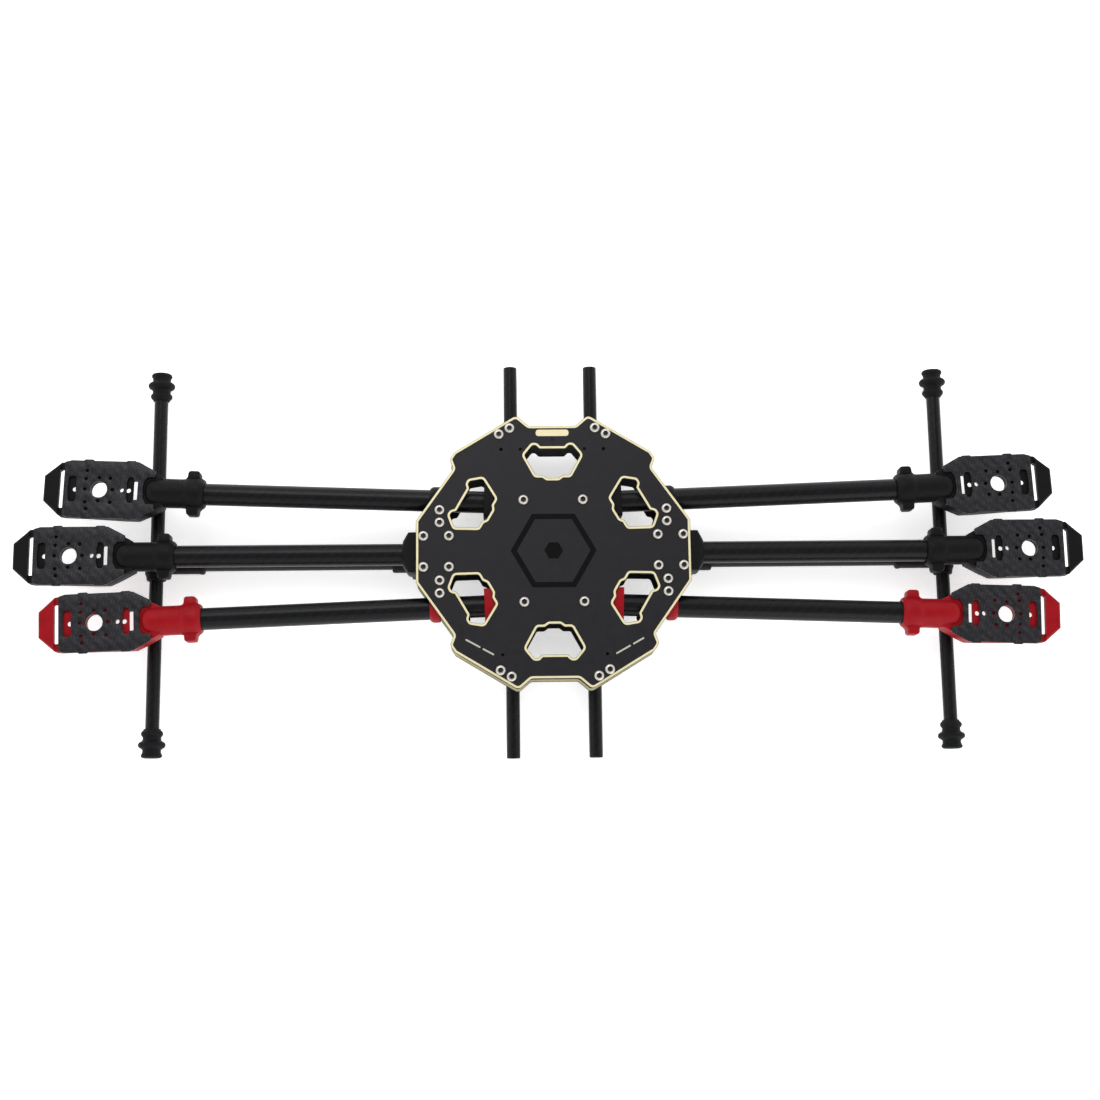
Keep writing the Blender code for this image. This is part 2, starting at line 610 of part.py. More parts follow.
def build_landing_gear(hub):
    """Add the two raised landing legs with their skids."""
    bracket = leg_bracket()
    knuckle = leg_knuckle()
    leg_tube = tube("leg_tube", LEG_TUBE, LEG_TUBE_START, SKID_PLACE - 7.0 - FIT_GAP)
    tee = skid_tee()
    skid = tube("skid_tube", SLIM_TUBE, -SKID_HALF_LENGTH + 2.5, SKID_HALF_LENGTH - 2.5, "Y")
    front_foot = foot()
    rear_foot = foot()
    rear_foot.transform(Matrix.Rotation(math.pi, 4, "Z"))
    for side, angle in (("left", 180), ("right", 0)):
        mount = add_empty("leg_mount_" + side, hub, (0, 0, 0), angle)
        add_node("leg_bracket_" + side, bracket, "black_plastic", mount)
        leg = add_empty("leg_axis_" + side, mount, (LEG_PIVOT, 0, LEG_HEIGHT))
        add_node("leg_knuckle_" + side, knuckle, "black_plastic", leg)
        inward = (-LEG_PIVOT, 0, 0)
        add_node("leg_tube_" + side, leg_tube, "carbon_tube", leg, inward)
        add_node("skid_tee_" + side, tee, "black_plastic", leg, inward)
        place = SKID_PLACE - LEG_PIVOT
        add_node("skid_tube_" + side, skid, "carbon_tube", leg, (place, 0, 0))
        ends = (("front", "rear") if angle == 0 else ("rear", "front"))
        add_node("foot_" + ends[0] + "_" + side, front_foot, "rubber", leg, (place, SKID_HALF_LENGTH, 0))
        add_node("foot_" + ends[1] + "_" + side, rear_foot, "rubber", leg, (place, -SKID_HALF_LENGTH, 0))


def main():
    for old in list(bpy.data.objects):
        bpy.data.objects.remove(old)
    hub = add_empty("hub_axis", None, (0, 0, GROUND_TO_ARM))
    base = motor_base()
    plate = motor_plate()
    build_hub(hub)
    build_fixed_arms(hub, base, plate)
    build_folding_arms(hub, base, plate)
    build_landing_gear(hub)
    bpy.context.view_layer.update()


main()
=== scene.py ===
"""Looks for the folding six-arm airframe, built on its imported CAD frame.

Shapes are drawn in millimetres about their own arm, leg or hub, with heights
measured from the plane of the arm axes, and are placed by the frame's joints.
"""

import json
import math

import bmesh
import bpy
from mathutils import Matrix, Vector

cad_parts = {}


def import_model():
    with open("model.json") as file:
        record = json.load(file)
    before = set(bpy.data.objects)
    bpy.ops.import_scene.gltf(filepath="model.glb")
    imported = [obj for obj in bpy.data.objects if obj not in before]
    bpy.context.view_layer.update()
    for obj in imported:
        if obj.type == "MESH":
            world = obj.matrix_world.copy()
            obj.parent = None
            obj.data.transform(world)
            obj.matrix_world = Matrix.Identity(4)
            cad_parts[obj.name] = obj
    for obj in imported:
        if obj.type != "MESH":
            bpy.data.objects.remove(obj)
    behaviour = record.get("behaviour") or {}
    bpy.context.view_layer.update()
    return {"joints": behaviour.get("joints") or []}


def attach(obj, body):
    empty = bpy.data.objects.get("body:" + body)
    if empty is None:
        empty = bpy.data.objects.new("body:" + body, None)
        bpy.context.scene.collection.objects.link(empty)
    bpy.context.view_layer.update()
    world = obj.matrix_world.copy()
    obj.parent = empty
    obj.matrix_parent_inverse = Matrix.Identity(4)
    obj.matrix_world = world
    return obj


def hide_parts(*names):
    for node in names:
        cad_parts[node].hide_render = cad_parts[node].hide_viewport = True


MM = 0.001
HUB = "hub"
CUT = "DIFFERENCE"
JOIN = "UNION"
ROUND = 48                    # sides of a tube or a large round piece
FINE = 24                     # sides of a screw, a pin or a small hole

# Hub
PLATE_THICKNESS = 2.0
HUB_HALF_HEIGHT = 10.7
PLATE_TOP = 13.0
PLATE_EDGE = 0.25
BORDER_WIDTH = 1.75
PLATE_QUADRANT = [
    (17.0, 92.3, 3.5), (26.2, 100.2, 4.5), (71.3, 73.0, 2.0), (74.8, 67.8, 4.0),
    (72.0, 60.8, 3.0), (97.6, 24.6, 2.5), (99.0, 22.5, 2.5),
]
WINDOW_HALF = [
    (75.2, 9.5, 2.0), (77.8, 12.0, 2.0), (77.8, 14.5, 2.0), (70.5, 20.5, 2.5),
    (55.5, 12.3, 2.0), (55.5, 7.0, 2.0), (53.3, 4.0, 2.0),
]
WINDOW_ANGLES = [30, 90, 150, 210, 270, 330]
SMALL_HOLES = [
    (37.3, 75.0), (23.3, 75.0), (-23.3, 75.0), (-37.3, 75.0), (0.0, 82.0), (37.3, -75.0), (-37.3, -75.0),
]
CLAMP_SCREWS = [(75.3, 11.3), (93.6, 11.3)]
REST_SCREWS = [(82.0, 21.1), (82.0, 30.3)]
STOP_SCREWS = [(94.0, 9.4), (94.0, 18.4)]     # along and across the opened arm
HEAD_RADIUS = 3.65
BOLT_RADIUS = 2.6
BOLT_HOLE_RADIUS = 2.9

# Arms
FOLDED_ANGLE = 2.09
FOLDED_REACH = 306.2
FIXED_REACH = 347.5
ARM_SPREAD = 60.0
ARM_TUBE = (8.0, 7.0)
LEG_TUBE = (7.0, 6.0)
SLIM_TUBE = (5.0, 4.0)
SOCKET_RADIUS = 8.3
CLAMP_HALF = [
    (105.0, 14.6, 1.0), (88.0, 14.8, 1.5), (88.0, 33.0, 2.0), (76.0, 33.0, 2.0), (76.0, 14.8, 1.5),
    (62.0, 14.8, 3.0),
]
CLAMP_FLARE = [                # place, half width, half height, corner radius
    (98.0, 14.4, 10.5, 3.0), (104.6, 14.6, 10.6, 3.5), (105.4, 14.3, 10.5, 5.0), (108.2, 10.4, 10.0, 9.0),
    (108.8, 9.4, 9.4, 9.3),
]
STOP_SPAN = (87.0, 98.0)
STOP_ACROSS = (6.3, 8.4, 23.0)
BLOCK_RADIUS = 15.0
BLOCK_REACH = 28.6
BLOCK_HALF_WIDTH = 11.5
INDEX_RADIUS = 11.0
INDEX_HOLE_RADIUS = 2.4
TUBE_STOP = -38.0

# Motor mount, measured from the motor axis; +X points away from the hub
MOUNT_HALF = [
    (39.6, 9.25, 1.0), (28.4, 19.4, 1.5), (25.0, 19.8, 2.0), (-27.2, 19.8, 3.0), (-34.0, 16.6, 3.0),
    (-40.0, 13.4, 3.0), (-45.6, 10.3, 1.5),
]
MOUNT_HOLLOW_HALF = [
    (37.2, 8.2, 0.8), (27.0, 17.4, 1.2), (24.0, 17.8, 1.5), (-26.6, 17.8, 2.0), (-30.6, 15.8, 1.5),
]
MOUNT_TAPER = [
    (-24.0, -12.0, 0.0), (-20.0, -10.5, 2.0), (8.0, -4.5, 14.0), (41.0, -2.5, 0.0), (41.0, -12.0, 0.0),
]
MOUNT_TOP = 6.2
DECK_BOTTOM = 4.2
CAP_HALF = [(39.5, 9.2, 1.0), (27.9, 19.1, 1.2)]
OUTER_SLOT = (25.3, 28.5, 14.0)
INNER_SLOT = (-27.8, -24.4, 7.0)
DECK_HOLES = [(17.6, 0.0), (-16.3, 0.0), (-21.0, 0.0)]
DECK_HOLE_RADIUS = 1.7
BOSS_RADII = (9.0, 6.5)
RIB_PLACES = {"across": [-23.0, 21.8], "along": [-4.4, 4.4]}
RIB_THICKNESS = 1.4
EAR_HALF = [
    (-60.5, 9.5, 0.5), (-62.6, 11.6, 2.0), (-62.9, 16.3, 3.6), (-71.2, 16.3, 3.6), (-71.6, 12.0, 2.0),
    (-74.0, 9.5, 0.5),
]
EAR_SCREWS = [(-67.0, 12.9), (-67.0, -12.9)]
EAR_HALF_HEIGHT = 6.0
BARREL_RADIUS = 10.65
BARREL_NOSE = -32.3
BARREL_END = -75.0
MOTOR_BORE_RADIUS = 6.0
MOTOR_PLATE_SPAN = (6.5, 8.3)
MOTOR_PLATE_HALF = [
    (25.2, 19.6, 0.6), (20.5, 21.0, 2.0), (11.7, 21.0, 0.6), (10.8, 21.9, 0.6), (5.2, 21.9, 0.6),
    (4.3, 21.0, 0.6), (-18.7, 21.0, 0.6), (-19.6, 21.7, 0.6), (-25.2, 21.7, 0.6), (-26.1, 21.0, 0.4),
    (-27.6, 21.0, 1.0), (-34.0, 17.6, 3.0), (-40.0, 14.4, 0.8), (-40.0, 10.2, 0.8), (-34.0, 9.8, 1.0),
    (-31.6, 5.0, 2.5),
]
INNER_CUTOUT_HALF = [
    (-20.0, 6.2, 2.5), (-21.2, 9.4, 1.2), (-24.2, 9.4, 1.0), (-25.0, 7.0, 0.4), (-27.8, 7.0, 0.8),
]
OUTER_CUTOUT = (19.1, 9.5, 6.4)
MOTOR_SCREW_HOLES = [
    (9.8, 0.0), (-9.8, 0.0), (0.0, 8.5), (0.0, -8.5), (9.2, 9.5), (-8.6, 9.4), (9.5, -7.5), (-8.0, -8.2),
    (8.3, 14.5), (9.0, -13.6),
]

# Rails and landing gear
RAIL_OFFSET = 30.0
RAIL_HALF_LENGTH = 146.5
RAIL_HEIGHT = -24.0
HANGER_PLACE = 84.5
LEG_HEIGHT = -24.0
LEG_PIVOT = 96.0
SKID_PLACE = 291.0
SKID_HALF_LENGTH = 143.2
LEG_BORE_RADIUS = 7.3
SKID_BORE_RADIUS = 5.3

# Brightness of the surroundings at the horizon and overhead
SKY_LEVELS = (1.3, 0.5)

# Camera: distance from the hub, tilt, turn and roll in degrees, and lens
CAMERA_DISTANCE = 1193.0
CAMERA_TILT = 9.98
CAMERA_TURN = 1.83
CAMERA_ROLL = 0.48
CAMERA_LENS = 53.7
CAMERA_SHIFT = (-0.0029, 0.0032)


# ---- outlines

def arc(centre, radius, start, end, steps):
    """Return points along an arc, with angles in degrees."""
    points = []
    for step in range(steps + 1):
        angle = math.radians(start + (end - start) * step / steps)
        points.append((centre[0] + radius * math.cos(angle), centre[1] + radius * math.sin(angle)))
    return points


def circle(centre, radius, sides=FINE):
    """Return a round loop, anticlockwise."""
    return arc(centre, radius, 0, 360, sides)[:-1]


def both_sides(half):
    """Close a half outline of (x, y, radius) with its mirror image in the X axis."""
    return list(half) + [(x, -y, radius) for x, y, radius in reversed(half)]


def rectangle(x0, x1, y0, y1, radius=0.0):
    """Return a rectangle's corners with one fillet radius."""
    return [(x0, y0, radius), (x1, y0, radius), (x1, y1, radius), (x0, y1, radius)]


def rounded(corners, steps=4):
    """Replace each corner of a closed outline of (x, y, radius) by a smooth bend."""
    points = []
    count = len(corners)
    for index, (x, y, radius) in enumerate(corners):
        here = Vector((x, y))
        before = Vector(corners[index - 1][:2]) - here
        after = Vector(corners[(index + 1) % count][:2]) - here
        if radius == 0:
            points.append((x, y))
            continue
        reach = max(0.05, radius / math.tan(before.angle(after) / 2))
        reach = min(reach, before.length * 0.48, after.length * 0.48)
        start = here + before.normalized() * reach
        end = here + after.normalized() * reach
        for step in range(steps + 1):
            part = step / steps
            bend = start.lerp(here, part).lerp(here.lerp(end, part), part)
            points.append((bend.x, bend.y))
    return points


def area_of(outline):
    """Return an outline's signed area, positive when it runs anticlockwise."""
    total = 0.0
    for before, after in zip(outline, outline[1:] + outline[:1]):
        total += before[0] * after[1] - after[0] * before[1]
    return total / 2


def running(outline, anticlockwise):
    """Return an outline in the asked direction."""
    return outline if (area_of(outline) > 0) == anticlockwise else outline[::-1]


def inset(points, distance):
    """Shift a closed loop to its left, keeping each side parallel to itself."""
    moved = []
    count = len(points)
    for index, (x, y) in enumerate(points):
        here = Vector((x, y))
        into = (here - Vector(points[index - 1])).normalized()
        out = (Vector(points[(index + 1) % count]) - here).normalized()
        left_in = Vector((-into.y, into.x))
        left_out = Vector((-out.y, out.x))
        move = (left_in + left_out) * (distance / max(0.3, 1 + left_in.dot(left_out)))
        moved.append((x + move.x, y + move.y))
    return moved


def ring_of(outline, distance):
    """Shift an outline to its left; its corners are (x, y), or (x, y, radius) to be rounded."""
    moved = inset([corner[:2] for corner in outline], distance)
    if len(outline[0]) == 2:
        return moved
    corners = []
    count = len(outline)
    for index, (x, y, radius) in enumerate(outline):
        into = Vector((x, y)) - Vector(outline[index - 1][:2])
        out = Vector(outline[(index + 1) % count][:2]) - Vector((x, y))
        closer = distance if into.cross(out) > 0 else -distance
        corners.append((*moved[index], max(0.15, radius - closer)))
    return rounded(corners)


# ---- meshes

def on_axis(across, up, along, axis):
    """Turn a point of a section and its place along the axis into metres."""
    points = {"X": (along, across, up), "Y": (across, along, up), "Z": (across, up, along)}
    return Vector(points[axis]) * MM


def polar(reach, angle, height):
    """Return a point in metres from its distance and angle about the Z axis, and its height."""
    return on_axis(reach * math.cos(angle), reach * math.sin(angle), height, "Z")


def mesh_from(bm, name, sharp=35):
    """Finish an edited mesh with outward faces and smooth shading between sharp edges."""
    bmesh.ops.recalc_face_normals(bm, faces=bm.faces)
    mesh = bpy.data.meshes.new(name)
    bm.to_mesh(mesh)
    bm.free()
    mesh.shade_smooth()
    mesh.set_sharp_from_angle(angle=math.radians(sharp))
    return mesh


def bridge(bm, low, high, band=0):
    """Join two equal rings of corners with a band of faces."""
    for index in range(len(low)):
        following = (index + 1) % len(low)
        face = bm.faces.new((low[index], low[following], high[following], high[index]))
        face.material_index = band


def slab(name, loops, axis="Z"):
    """Build a solid between two filled ends.

    Each loop is (outline, levels). A level is (inset, place along the axis,
    material index of the band up to the next level). The first loop is the
    outside, the others are holes.
    """
    bm = bmesh.new()
    ends = ([], [])
    for number, (outline, levels) in enumerate(loops):
        outline = running(outline, number == 0)
        rows = []
        for distance, along, _ in levels:
            row = ring_of(outline, distance)
            rows.append([bm.verts.new(on_axis(x, y, along, axis)) for x, y in row])
        for (_, _, band), low, high in zip(levels, rows, rows[1:]):
            bridge(bm, low, high, band)
        for end, row in zip(ends, (rows[0], rows[-1])):
            end += [bm.edges.get((a, b)) for a, b in zip(row, row[1:] + row[:1])]
    for end in ends:
        bmesh.ops.triangle_fill(bm, use_beauty=True, edges=end, normal=on_axis(0, 0, 1, axis))
    return mesh_from(bm, name)


def plain_block(name, outline, low, high, axis="Z"):
    """Build a solid with sharp ends from an outline."""
    return slab(name, [(outline, [(0, low, 0), (0, high, 0)])], axis)


def soft_levels(low, high, edge=0.6):
    """Return levels for a plain solid whose two ends have rounded edges."""
    return [
        (edge, low, 0), (edge * 0.3, low + edge * 0.3, 0), (0.0, low + edge, 0), (0.0, high - edge, 0),
        (edge * 0.3, high - edge * 0.3, 0), (edge, high, 0),
    ]


def block(name, outline, low, high, edge=0.6, holes=(), axis="Z"):
    """Build a solid with rounded end edges from an outline and plain holes."""
    loops = [(outline, soft_levels(low, high, edge))]
    for hole in holes:
        loops.append((hole, soft_levels(low, high, min(edge, 0.3))))
    return slab(name, loops, axis)


def loft(name, rings, second_from=math.inf):
    """Join rings of points in metres and cap both ends; bands from a number on use material 1."""
    bm = bmesh.new()
    rows = [[bm.verts.new(point) for point in ring] for ring in rings]
    for number, (low, high) in enumerate(zip(rows, rows[1:])):
        bridge(bm, low, high, int(number >= second_from))
    bm.faces.new(rows[0])
    bm.faces.new(rows[-1]).material_index = int(second_from < len(rows))
    return mesh_from(bm, name)


def turned(name, profile, axis="Z", sides=ROUND, ring=False, sharp=35):
    """Turn a profile of (place, radius) about the axis; a radius of 0 closes an end."""
    bm = bmesh.new()
    rows = []
    for along, radius in profile:
        if radius == 0:
            rows.append([bm.verts.new(on_axis(0, 0, along, axis))] * sides)
            continue
        rows.append([bm.verts.new(on_axis(x, y, along, axis)) for x, y in circle((0, 0), radius, sides)])
    pairs = list(zip(rows, rows[1:]))
    if ring:
        pairs.append((rows[-1], rows[0]))
    for low, high in pairs:
        for index in range(sides):
            following = (index + 1) % sides
            corners = list(dict.fromkeys([low[index], low[following], high[following], high[index]]))
            if len(corners) > 2:
                bm.faces.new(corners)
    return mesh_from(bm, name, sharp)


def hollow_tube(name, radii, start, end, axis="X"):
    """Build a thin-walled tube with broken edges, and wrap weave coordinates round it."""
    outer, inner = radii
    edge = 0.2
    profile = [(start, outer - edge), (start + edge, outer), (end - edge, outer), (end, outer - edge)]
    profile += [(end, inner + edge), (end - edge, inner), (start + edge, inner), (start, inner + edge)]
    mesh = turned(name, profile, axis, ring=True)
    wrap_weave(mesh, outer, axis)
    return mesh


def wrap_weave(mesh, radius, axis):
    """Lay texture coordinates round a tube, counted in tows of the weave."""
    tow = 2.0
    around = 4 * round(math.tau * radius / tow / 4)
    layer = mesh.uv_layers.new(name="weave")
    for polygon in mesh.polygons:
        angles = []
        for corner in polygon.loop_indices:
            point = mesh.vertices[mesh.loops[corner].vertex_index].co
            across = point.y if axis == "X" else point.x
            angles.append(math.atan2(point.z, across))
        wide = max(angles) - min(angles) > math.pi
        for corner, angle in zip(polygon.loop_indices, angles):
            if wide and angle < 0:
                angle += math.tau
            point = mesh.vertices[mesh.loops[corner].vertex_index].co
            along = point.x if axis == "X" else point.y
            layer.data[corner].uv = (angle / math.tau * around, along / MM / tow)


def rod(name, radius, start, end, axis="Z", sides=ROUND):
    """Build a plain round bar, turned a little so that its edges miss those that it cuts."""
    mesh = turned(name, [(start, 0), (start, radius), (end, radius), (end, 0)], axis, sides)
    mesh.transform(Matrix.Rotation(math.radians(1.7), 4, axis))
    return mesh


def shifted(mesh, x=0.0, y=0.0, z=0.0, turn=0.0):
    """Turn a mesh about Z by an angle in degrees, then shift it in millimetres."""
    mesh.transform(Matrix.Translation(Vector((x, y, z)) * MM) @ Matrix.Rotation(math.radians(turn), 4, "Z"))
    return mesh


def combined(name, base, steps, sharp=35):
    """Work through steps of (CUT or JOIN, mesh) on a base mesh and return one mesh."""
    body = bpy.data.objects.new(name, base)
    bpy.context.scene.collection.objects.link(body)
    used = [body]
    for operation, mesh in steps:
        tool = bpy.data.objects.new("tool", mesh)
        bpy.context.scene.collection.objects.link(tool)
        used.append(tool)
        modifier = body.modifiers.new("shape", "BOOLEAN")
        modifier.operation = operation
        modifier.solver = "EXACT"
        modifier.object = tool
    graph = bpy.context.evaluated_depsgraph_get()
    result = bpy.data.meshes.new_from_object(body.evaluated_get(graph))
    result.name = name
    for item in used:
        bpy.data.objects.remove(item)
    result.shade_smooth()
    result.set_sharp_from_angle(angle=math.radians(sharp))
    return result


def merged(name, meshes):
    """Gather separate closed meshes, such as a set of screws, into one."""
    bm = bmesh.new()
    for mesh in meshes:
        bm.from_mesh(mesh)
    return mesh_from(bm, name)


# ---- materials

def add(tree, kind, inputs=(), **settings):
    """Add a shader node, set its options, and fill or link its inputs."""
    node = tree.nodes.new(kind)
    for key, value in settings.items():
        setattr(node, key, value)
    for key, value in dict(inputs).items():
        if isinstance(value, bpy.types.NodeSocket):
            tree.links.new(value, node.inputs[key])
        else:
            node.inputs[key].default_value = value
    return node


def calc(tree, operation, first, second=0.0):
    """Add a math node and return its result."""
    return add(tree, "ShaderNodeMath", {0: first, 1: second}, operation=operation).outputs[0]


def noise(tree, coordinates, size, detail=2.0):
    """Return a noise value whose blotches have a size in millimetres."""
    inputs = {"Vector": coordinates, "Scale": 1.0 / (size * MM), "Detail": detail}
    return add(tree, "ShaderNodeTexNoise", inputs).outputs["Fac"]


def spread(tree, value, low, high):
    """Map a value from about 0.3-0.7, where noise lies, to a new range."""
    inputs = {"Value": value, "From Min": 0.3, "From Max": 0.7, "To Min": low, "To Max": high}
    return add(tree, "ShaderNodeMapRange", inputs).outputs["Result"]


def tinted(tree, factor, first, second):
    """Mix two colours by a factor and return the result."""
    node = add(tree, "ShaderNodeMix", data_type="RGBA")
    tree.links.new(factor, node.inputs["Factor"])
    node.inputs[6].default_value = (*first, 1.0)
    node.inputs[7].default_value = (*second, 1.0)
    return node.outputs[2]


def bumped(tree, shader, height, depth, strength=1.0):
    """Drive the shader's normal by a height in a depth given in millimetres."""
    inputs = {"Height": height, "Distance": depth * MM, "Strength": strength}
    bump = add(tree, "ShaderNodeBump", inputs)
    tree.links.new(bump.outputs["Normal"], shader.inputs["Normal"])


def new_material(name):
    """Start a material and return it with its tree, its shader and object coordinates."""
    made = bpy.data.materials.new(name)
    made.use_nodes = True
    tree = made.node_tree
    shader = tree.nodes["Principled BSDF"]
    coordinates = add(tree, "ShaderNodeTexCoord").outputs["Object"]
    return made, tree, shader, coordinates


def coat(name, tones, gloss, specular=0.5, metallic=0.0, grain=None):
    """Build a material from mottled colour, uneven gloss and a fine grain.

    tones is (dark, pale, blotch size, detail), gloss is (low, high, blotch size,
    detail) and grain is (size, detail, depth, strength), with sizes in millimetres.
    """
    made, tree, shader, where = new_material(name)
    dark, pale, size, detail = tones
    tree.links.new(tinted(tree, noise(tree, where, size, detail), dark, pale), shader.inputs["Base Color"])
    low, high, size, detail = gloss
    tree.links.new(spread(tree, noise(tree, where, size, detail), low, high), shader.inputs["Roughness"])
    shader.inputs["Specular IOR Level"].default_value = specular
    shader.inputs["Metallic"].default_value = metallic
    if grain:
        size, detail, depth, strength = grain
        bumped(tree, shader, noise(tree, where, size, detail), depth, strength)
    return made


def moulded_nylon(name, colour, roughness):
    """Injection-moulded nylon: fine spark-eroded grain, faint flow marks, uneven gloss."""
    pale = [min(1.0, part * 1.25 + 0.001) for part in colour]
    dark = [part * 0.78 for part in colour]
    gloss = (roughness - 0.06, roughness + 0.08, 3.0, 3.0)
    return coat(name, (dark, pale, 7.0, 4.0), gloss, 0.13, grain=(0.35, 2.0, 0.05, 0.5))


def twill(tree, first, second):
    """Return (painted sheen, height) of a 2/2 twill from two coordinates counted in tows; the painted sheen
    is lighter on warp tows than on weft tows and brightest along each tow's crown.
    """
    column, row = (calc(tree, "FLOOR", value) for value in (first, second))
    phase = calc(tree, "FLOORED_MODULO", calc(tree, "ADD", column, row), 4.0)
    warp_up = calc(tree, "LESS_THAN", phase, 2.0)
    across_warp, across_weft = (
        calc(tree, "SINE", calc(tree, "MULTIPLY", calc(tree, "FRACT", value), math.pi))
        for value in (first, second)
    )
    warp = calc(tree, "MULTIPLY", warp_up, across_warp)
    weft = calc(tree, "MULTIPLY", calc(tree, "SUBTRACT", 1.0, warp_up), across_weft)
    # Painted sheen: weft tows get 0.35 of the warp tows' brightness, and each tow is brightest at its crown.
    tow_sheen = calc(tree, "ADD", warp, calc(tree, "MULTIPLY", weft, 0.35))
    return tow_sheen, calc(tree, "ADD", warp, weft)


def resin_face(material, shade, tones, gloss, specular, relief):
    """Finish a woven material: tow colours with painted sheen under resin, its gloss and the relief of the
    tows.
    """
    made, tree, shader, where = material
    tree.links.new(tinted(tree, shade, *tones), shader.inputs["Base Color"])
    low, high, size = gloss
    tree.links.new(spread(tree, noise(tree, where, size, 3.0), low, high), shader.inputs["Roughness"])
    shader.inputs["Specular IOR Level"].default_value = specular
    bumped(tree, shader, *relief)
    return made


def carbon_plate():
    """Woven carbon laminate: twill tows with painted sheen and random mottling under a satin resin face."""
    material = new_material("carbon_plate")
    _, tree, _, where = material
    tow = 1.9
    split = add(tree, "ShaderNodeSeparateXYZ", {"Vector": where})
    first, second = (calc(tree, "MULTIPLY", split.outputs[axis], 1 / (tow * MM)) for axis in "XY")
    tow_sheen, height = twill(tree, first, second)
    cloud = spread(tree, noise(tree, where, 4.0, 5.0), 0.25, 1.2)
    shade = calc(tree, "MULTIPLY", calc(tree, "ADD", calc(tree, "MULTIPLY", tow_sheen, 0.55), 0.3), cloud)
    tones = ((0.004, 0.0038, 0.0046), (0.036, 0.034, 0.041))
    return resin_face(material, shade, tones, (0.3, 0.44, 1.2), 0.22, (height, 0.05, 0.6))


def carbon_tube():
    """Rolled carbon tube: a tight twill with painted sheen that wraps the tube, under satin resin."""
    material = new_material("carbon_tube")
    _, tree, _, where = material
    weave = add(tree, "ShaderNodeUVMap", uv_map="weave").outputs["UV"]
    split = add(tree, "ShaderNodeSeparateXYZ", {"Vector": weave})
    tow_sheen, height = twill(tree, split.outputs["X"], split.outputs["Y"])
    cloud = spread(tree, noise(tree, where, 6.0, 3.0), 0.4, 1.1)
    tones = ((0.0022, 0.0023, 0.003), (0.0065, 0.0068, 0.008))
    shade = calc(tree, "MULTIPLY", tow_sheen, cloud)
    return resin_face(material, shade, tones, (0.26, 0.36, 2.0), 0.18, (height, 0.02, 0.35))


def laminate(name, colour, roughness, specular):
    """Glass-fibre laminate under solder mask: faint cloth print and soft blotches."""
    dark = [part * 0.7 for part in colour]
    pale = [part * 1.35 for part in colour]
    gloss = (roughness - 0.05, roughness + 0.07, 4.0, 3.0)
    return coat(name, (dark, pale, 9.0, 5.0), gloss, specular, grain=(0.5, 2.0, 0.03, 0.35))


def gold_line():
    """Pale immersion gold on bare copper, slightly uneven."""
    tones = ((0.68, 0.61, 0.36), (0.82, 0.75, 0.48), 6.0, 3.0)
    return coat("gold_line", tones, (0.3, 0.45, 2.0, 3.0), metallic=0.2, grain=(0.4, 2.0, 0.02, 0.3))


def metal(name, colour, roughness):
    """Plated or oxidised screw metal with a fine uneven finish."""
    dark = [part * 0.8 for part in colour]
    gloss = (roughness - 0.07, roughness + 0.1, 1.0, 3.0)
    return coat(name, (dark, colour, 2.0, 4.0), gloss, metallic=1.0, grain=(0.25, 2.0, 0.02, 0.3))


def soft_rubber():
    """Moulded rubber: matt, dusty in patches, with a fine bloom."""
    tones = ((0.003, 0.0032, 0.0038), (0.009, 0.0093, 0.0105), 5.0, 5.0)
    return coat("soft_rubber", tones, (0.55, 0.72, 3.0, 3.0), 0.12, grain=(0.45, 3.0, 0.06, 0.5))


def printed_ink():
    """Pale screen-printed ink for the dashes near the tail."""
    tones = ((0.32, 0.31, 0.26), (0.55, 0.53, 0.45), 0.8, 3.0)
    return coat("printed_ink", tones, (0.5, 0.65, 1.0, 2.0))


# ---- pieces

def place(name, mesh, looks, body, matrix, node=None):
    """Put a mesh in the scene as a piece that rides on a CAD body and may stand for a CAD node.

    A look is (material, slot); the slot is not used.
    """
    piece = bpy.data.objects.new(name, mesh.copy())
    for material, _ in looks:
        piece.data.materials.append(material)
    bpy.context.scene.collection.objects.link(piece)
    piece.matrix_world = matrix
    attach(piece, body)
    if node:
        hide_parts(node)


def at(x=0.0, y=0.0, z=0.0, turn=0.0):
    """Return a matrix from millimetres and a turn about Z in degrees."""
    return Matrix.Translation(Vector((x, y, z)) * MM) @ Matrix.Rotation(math.radians(turn), 4, "Z")


# ---- hub

def plate_outline():
    """Return the corners of the hub plate's outline."""
    right = both_sides(PLATE_QUADRANT)
    return right + [(-x, -y, radius) for x, y, radius in right]


def window_outline(angle):
    """Return the corners of one window of a hub plate, turned to its place."""
    turn = Matrix.Rotation(math.radians(angle), 2)
    corners = []
    for x, y, radius in both_sides(WINDOW_HALF):
        point = turn @ Vector((x, y))
        corners.append((point.x, point.y, radius))
    return corners


def hub_plate(name, low, bolt_places, upper):
    """Build a hub plate: black faces, a gold line along its edges, and holes for bolts and pins."""
    high = low + PLATE_THICKNESS
    edge = PLATE_EDGE
    bordered = [
        (BORDER_WIDTH, low, 1), (edge, low, 2), (0.0, low + edge, 2), (0.0, high - edge, 2),
        (edge, high, 1), (BORDER_WIDTH, high, 0),
    ]
    plain = [(edge, low, 2), (0.0, low + edge, 2), (0.0, high - edge, 2), (edge, high, 0)]
    loops = [(plate_outline(), bordered)]
    loops += [(window_outline(angle), bordered if upper else plain) for angle in WINDOW_ANGLES]
    loops += [(circle(centre, 1.25, 16), plain) for centre in SMALL_HOLES]
    loops += [(circle(centre, BOLT_HOLE_RADIUS), plain) for centre in bolt_places]
    if not upper:
        pins = [(x - math.copysign(INDEX_RADIUS, x), y) for x, y in bolt_places]
        loops += [(circle(centre, INDEX_HOLE_RADIUS), plain) for centre in pins]
    return slab(name, loops)


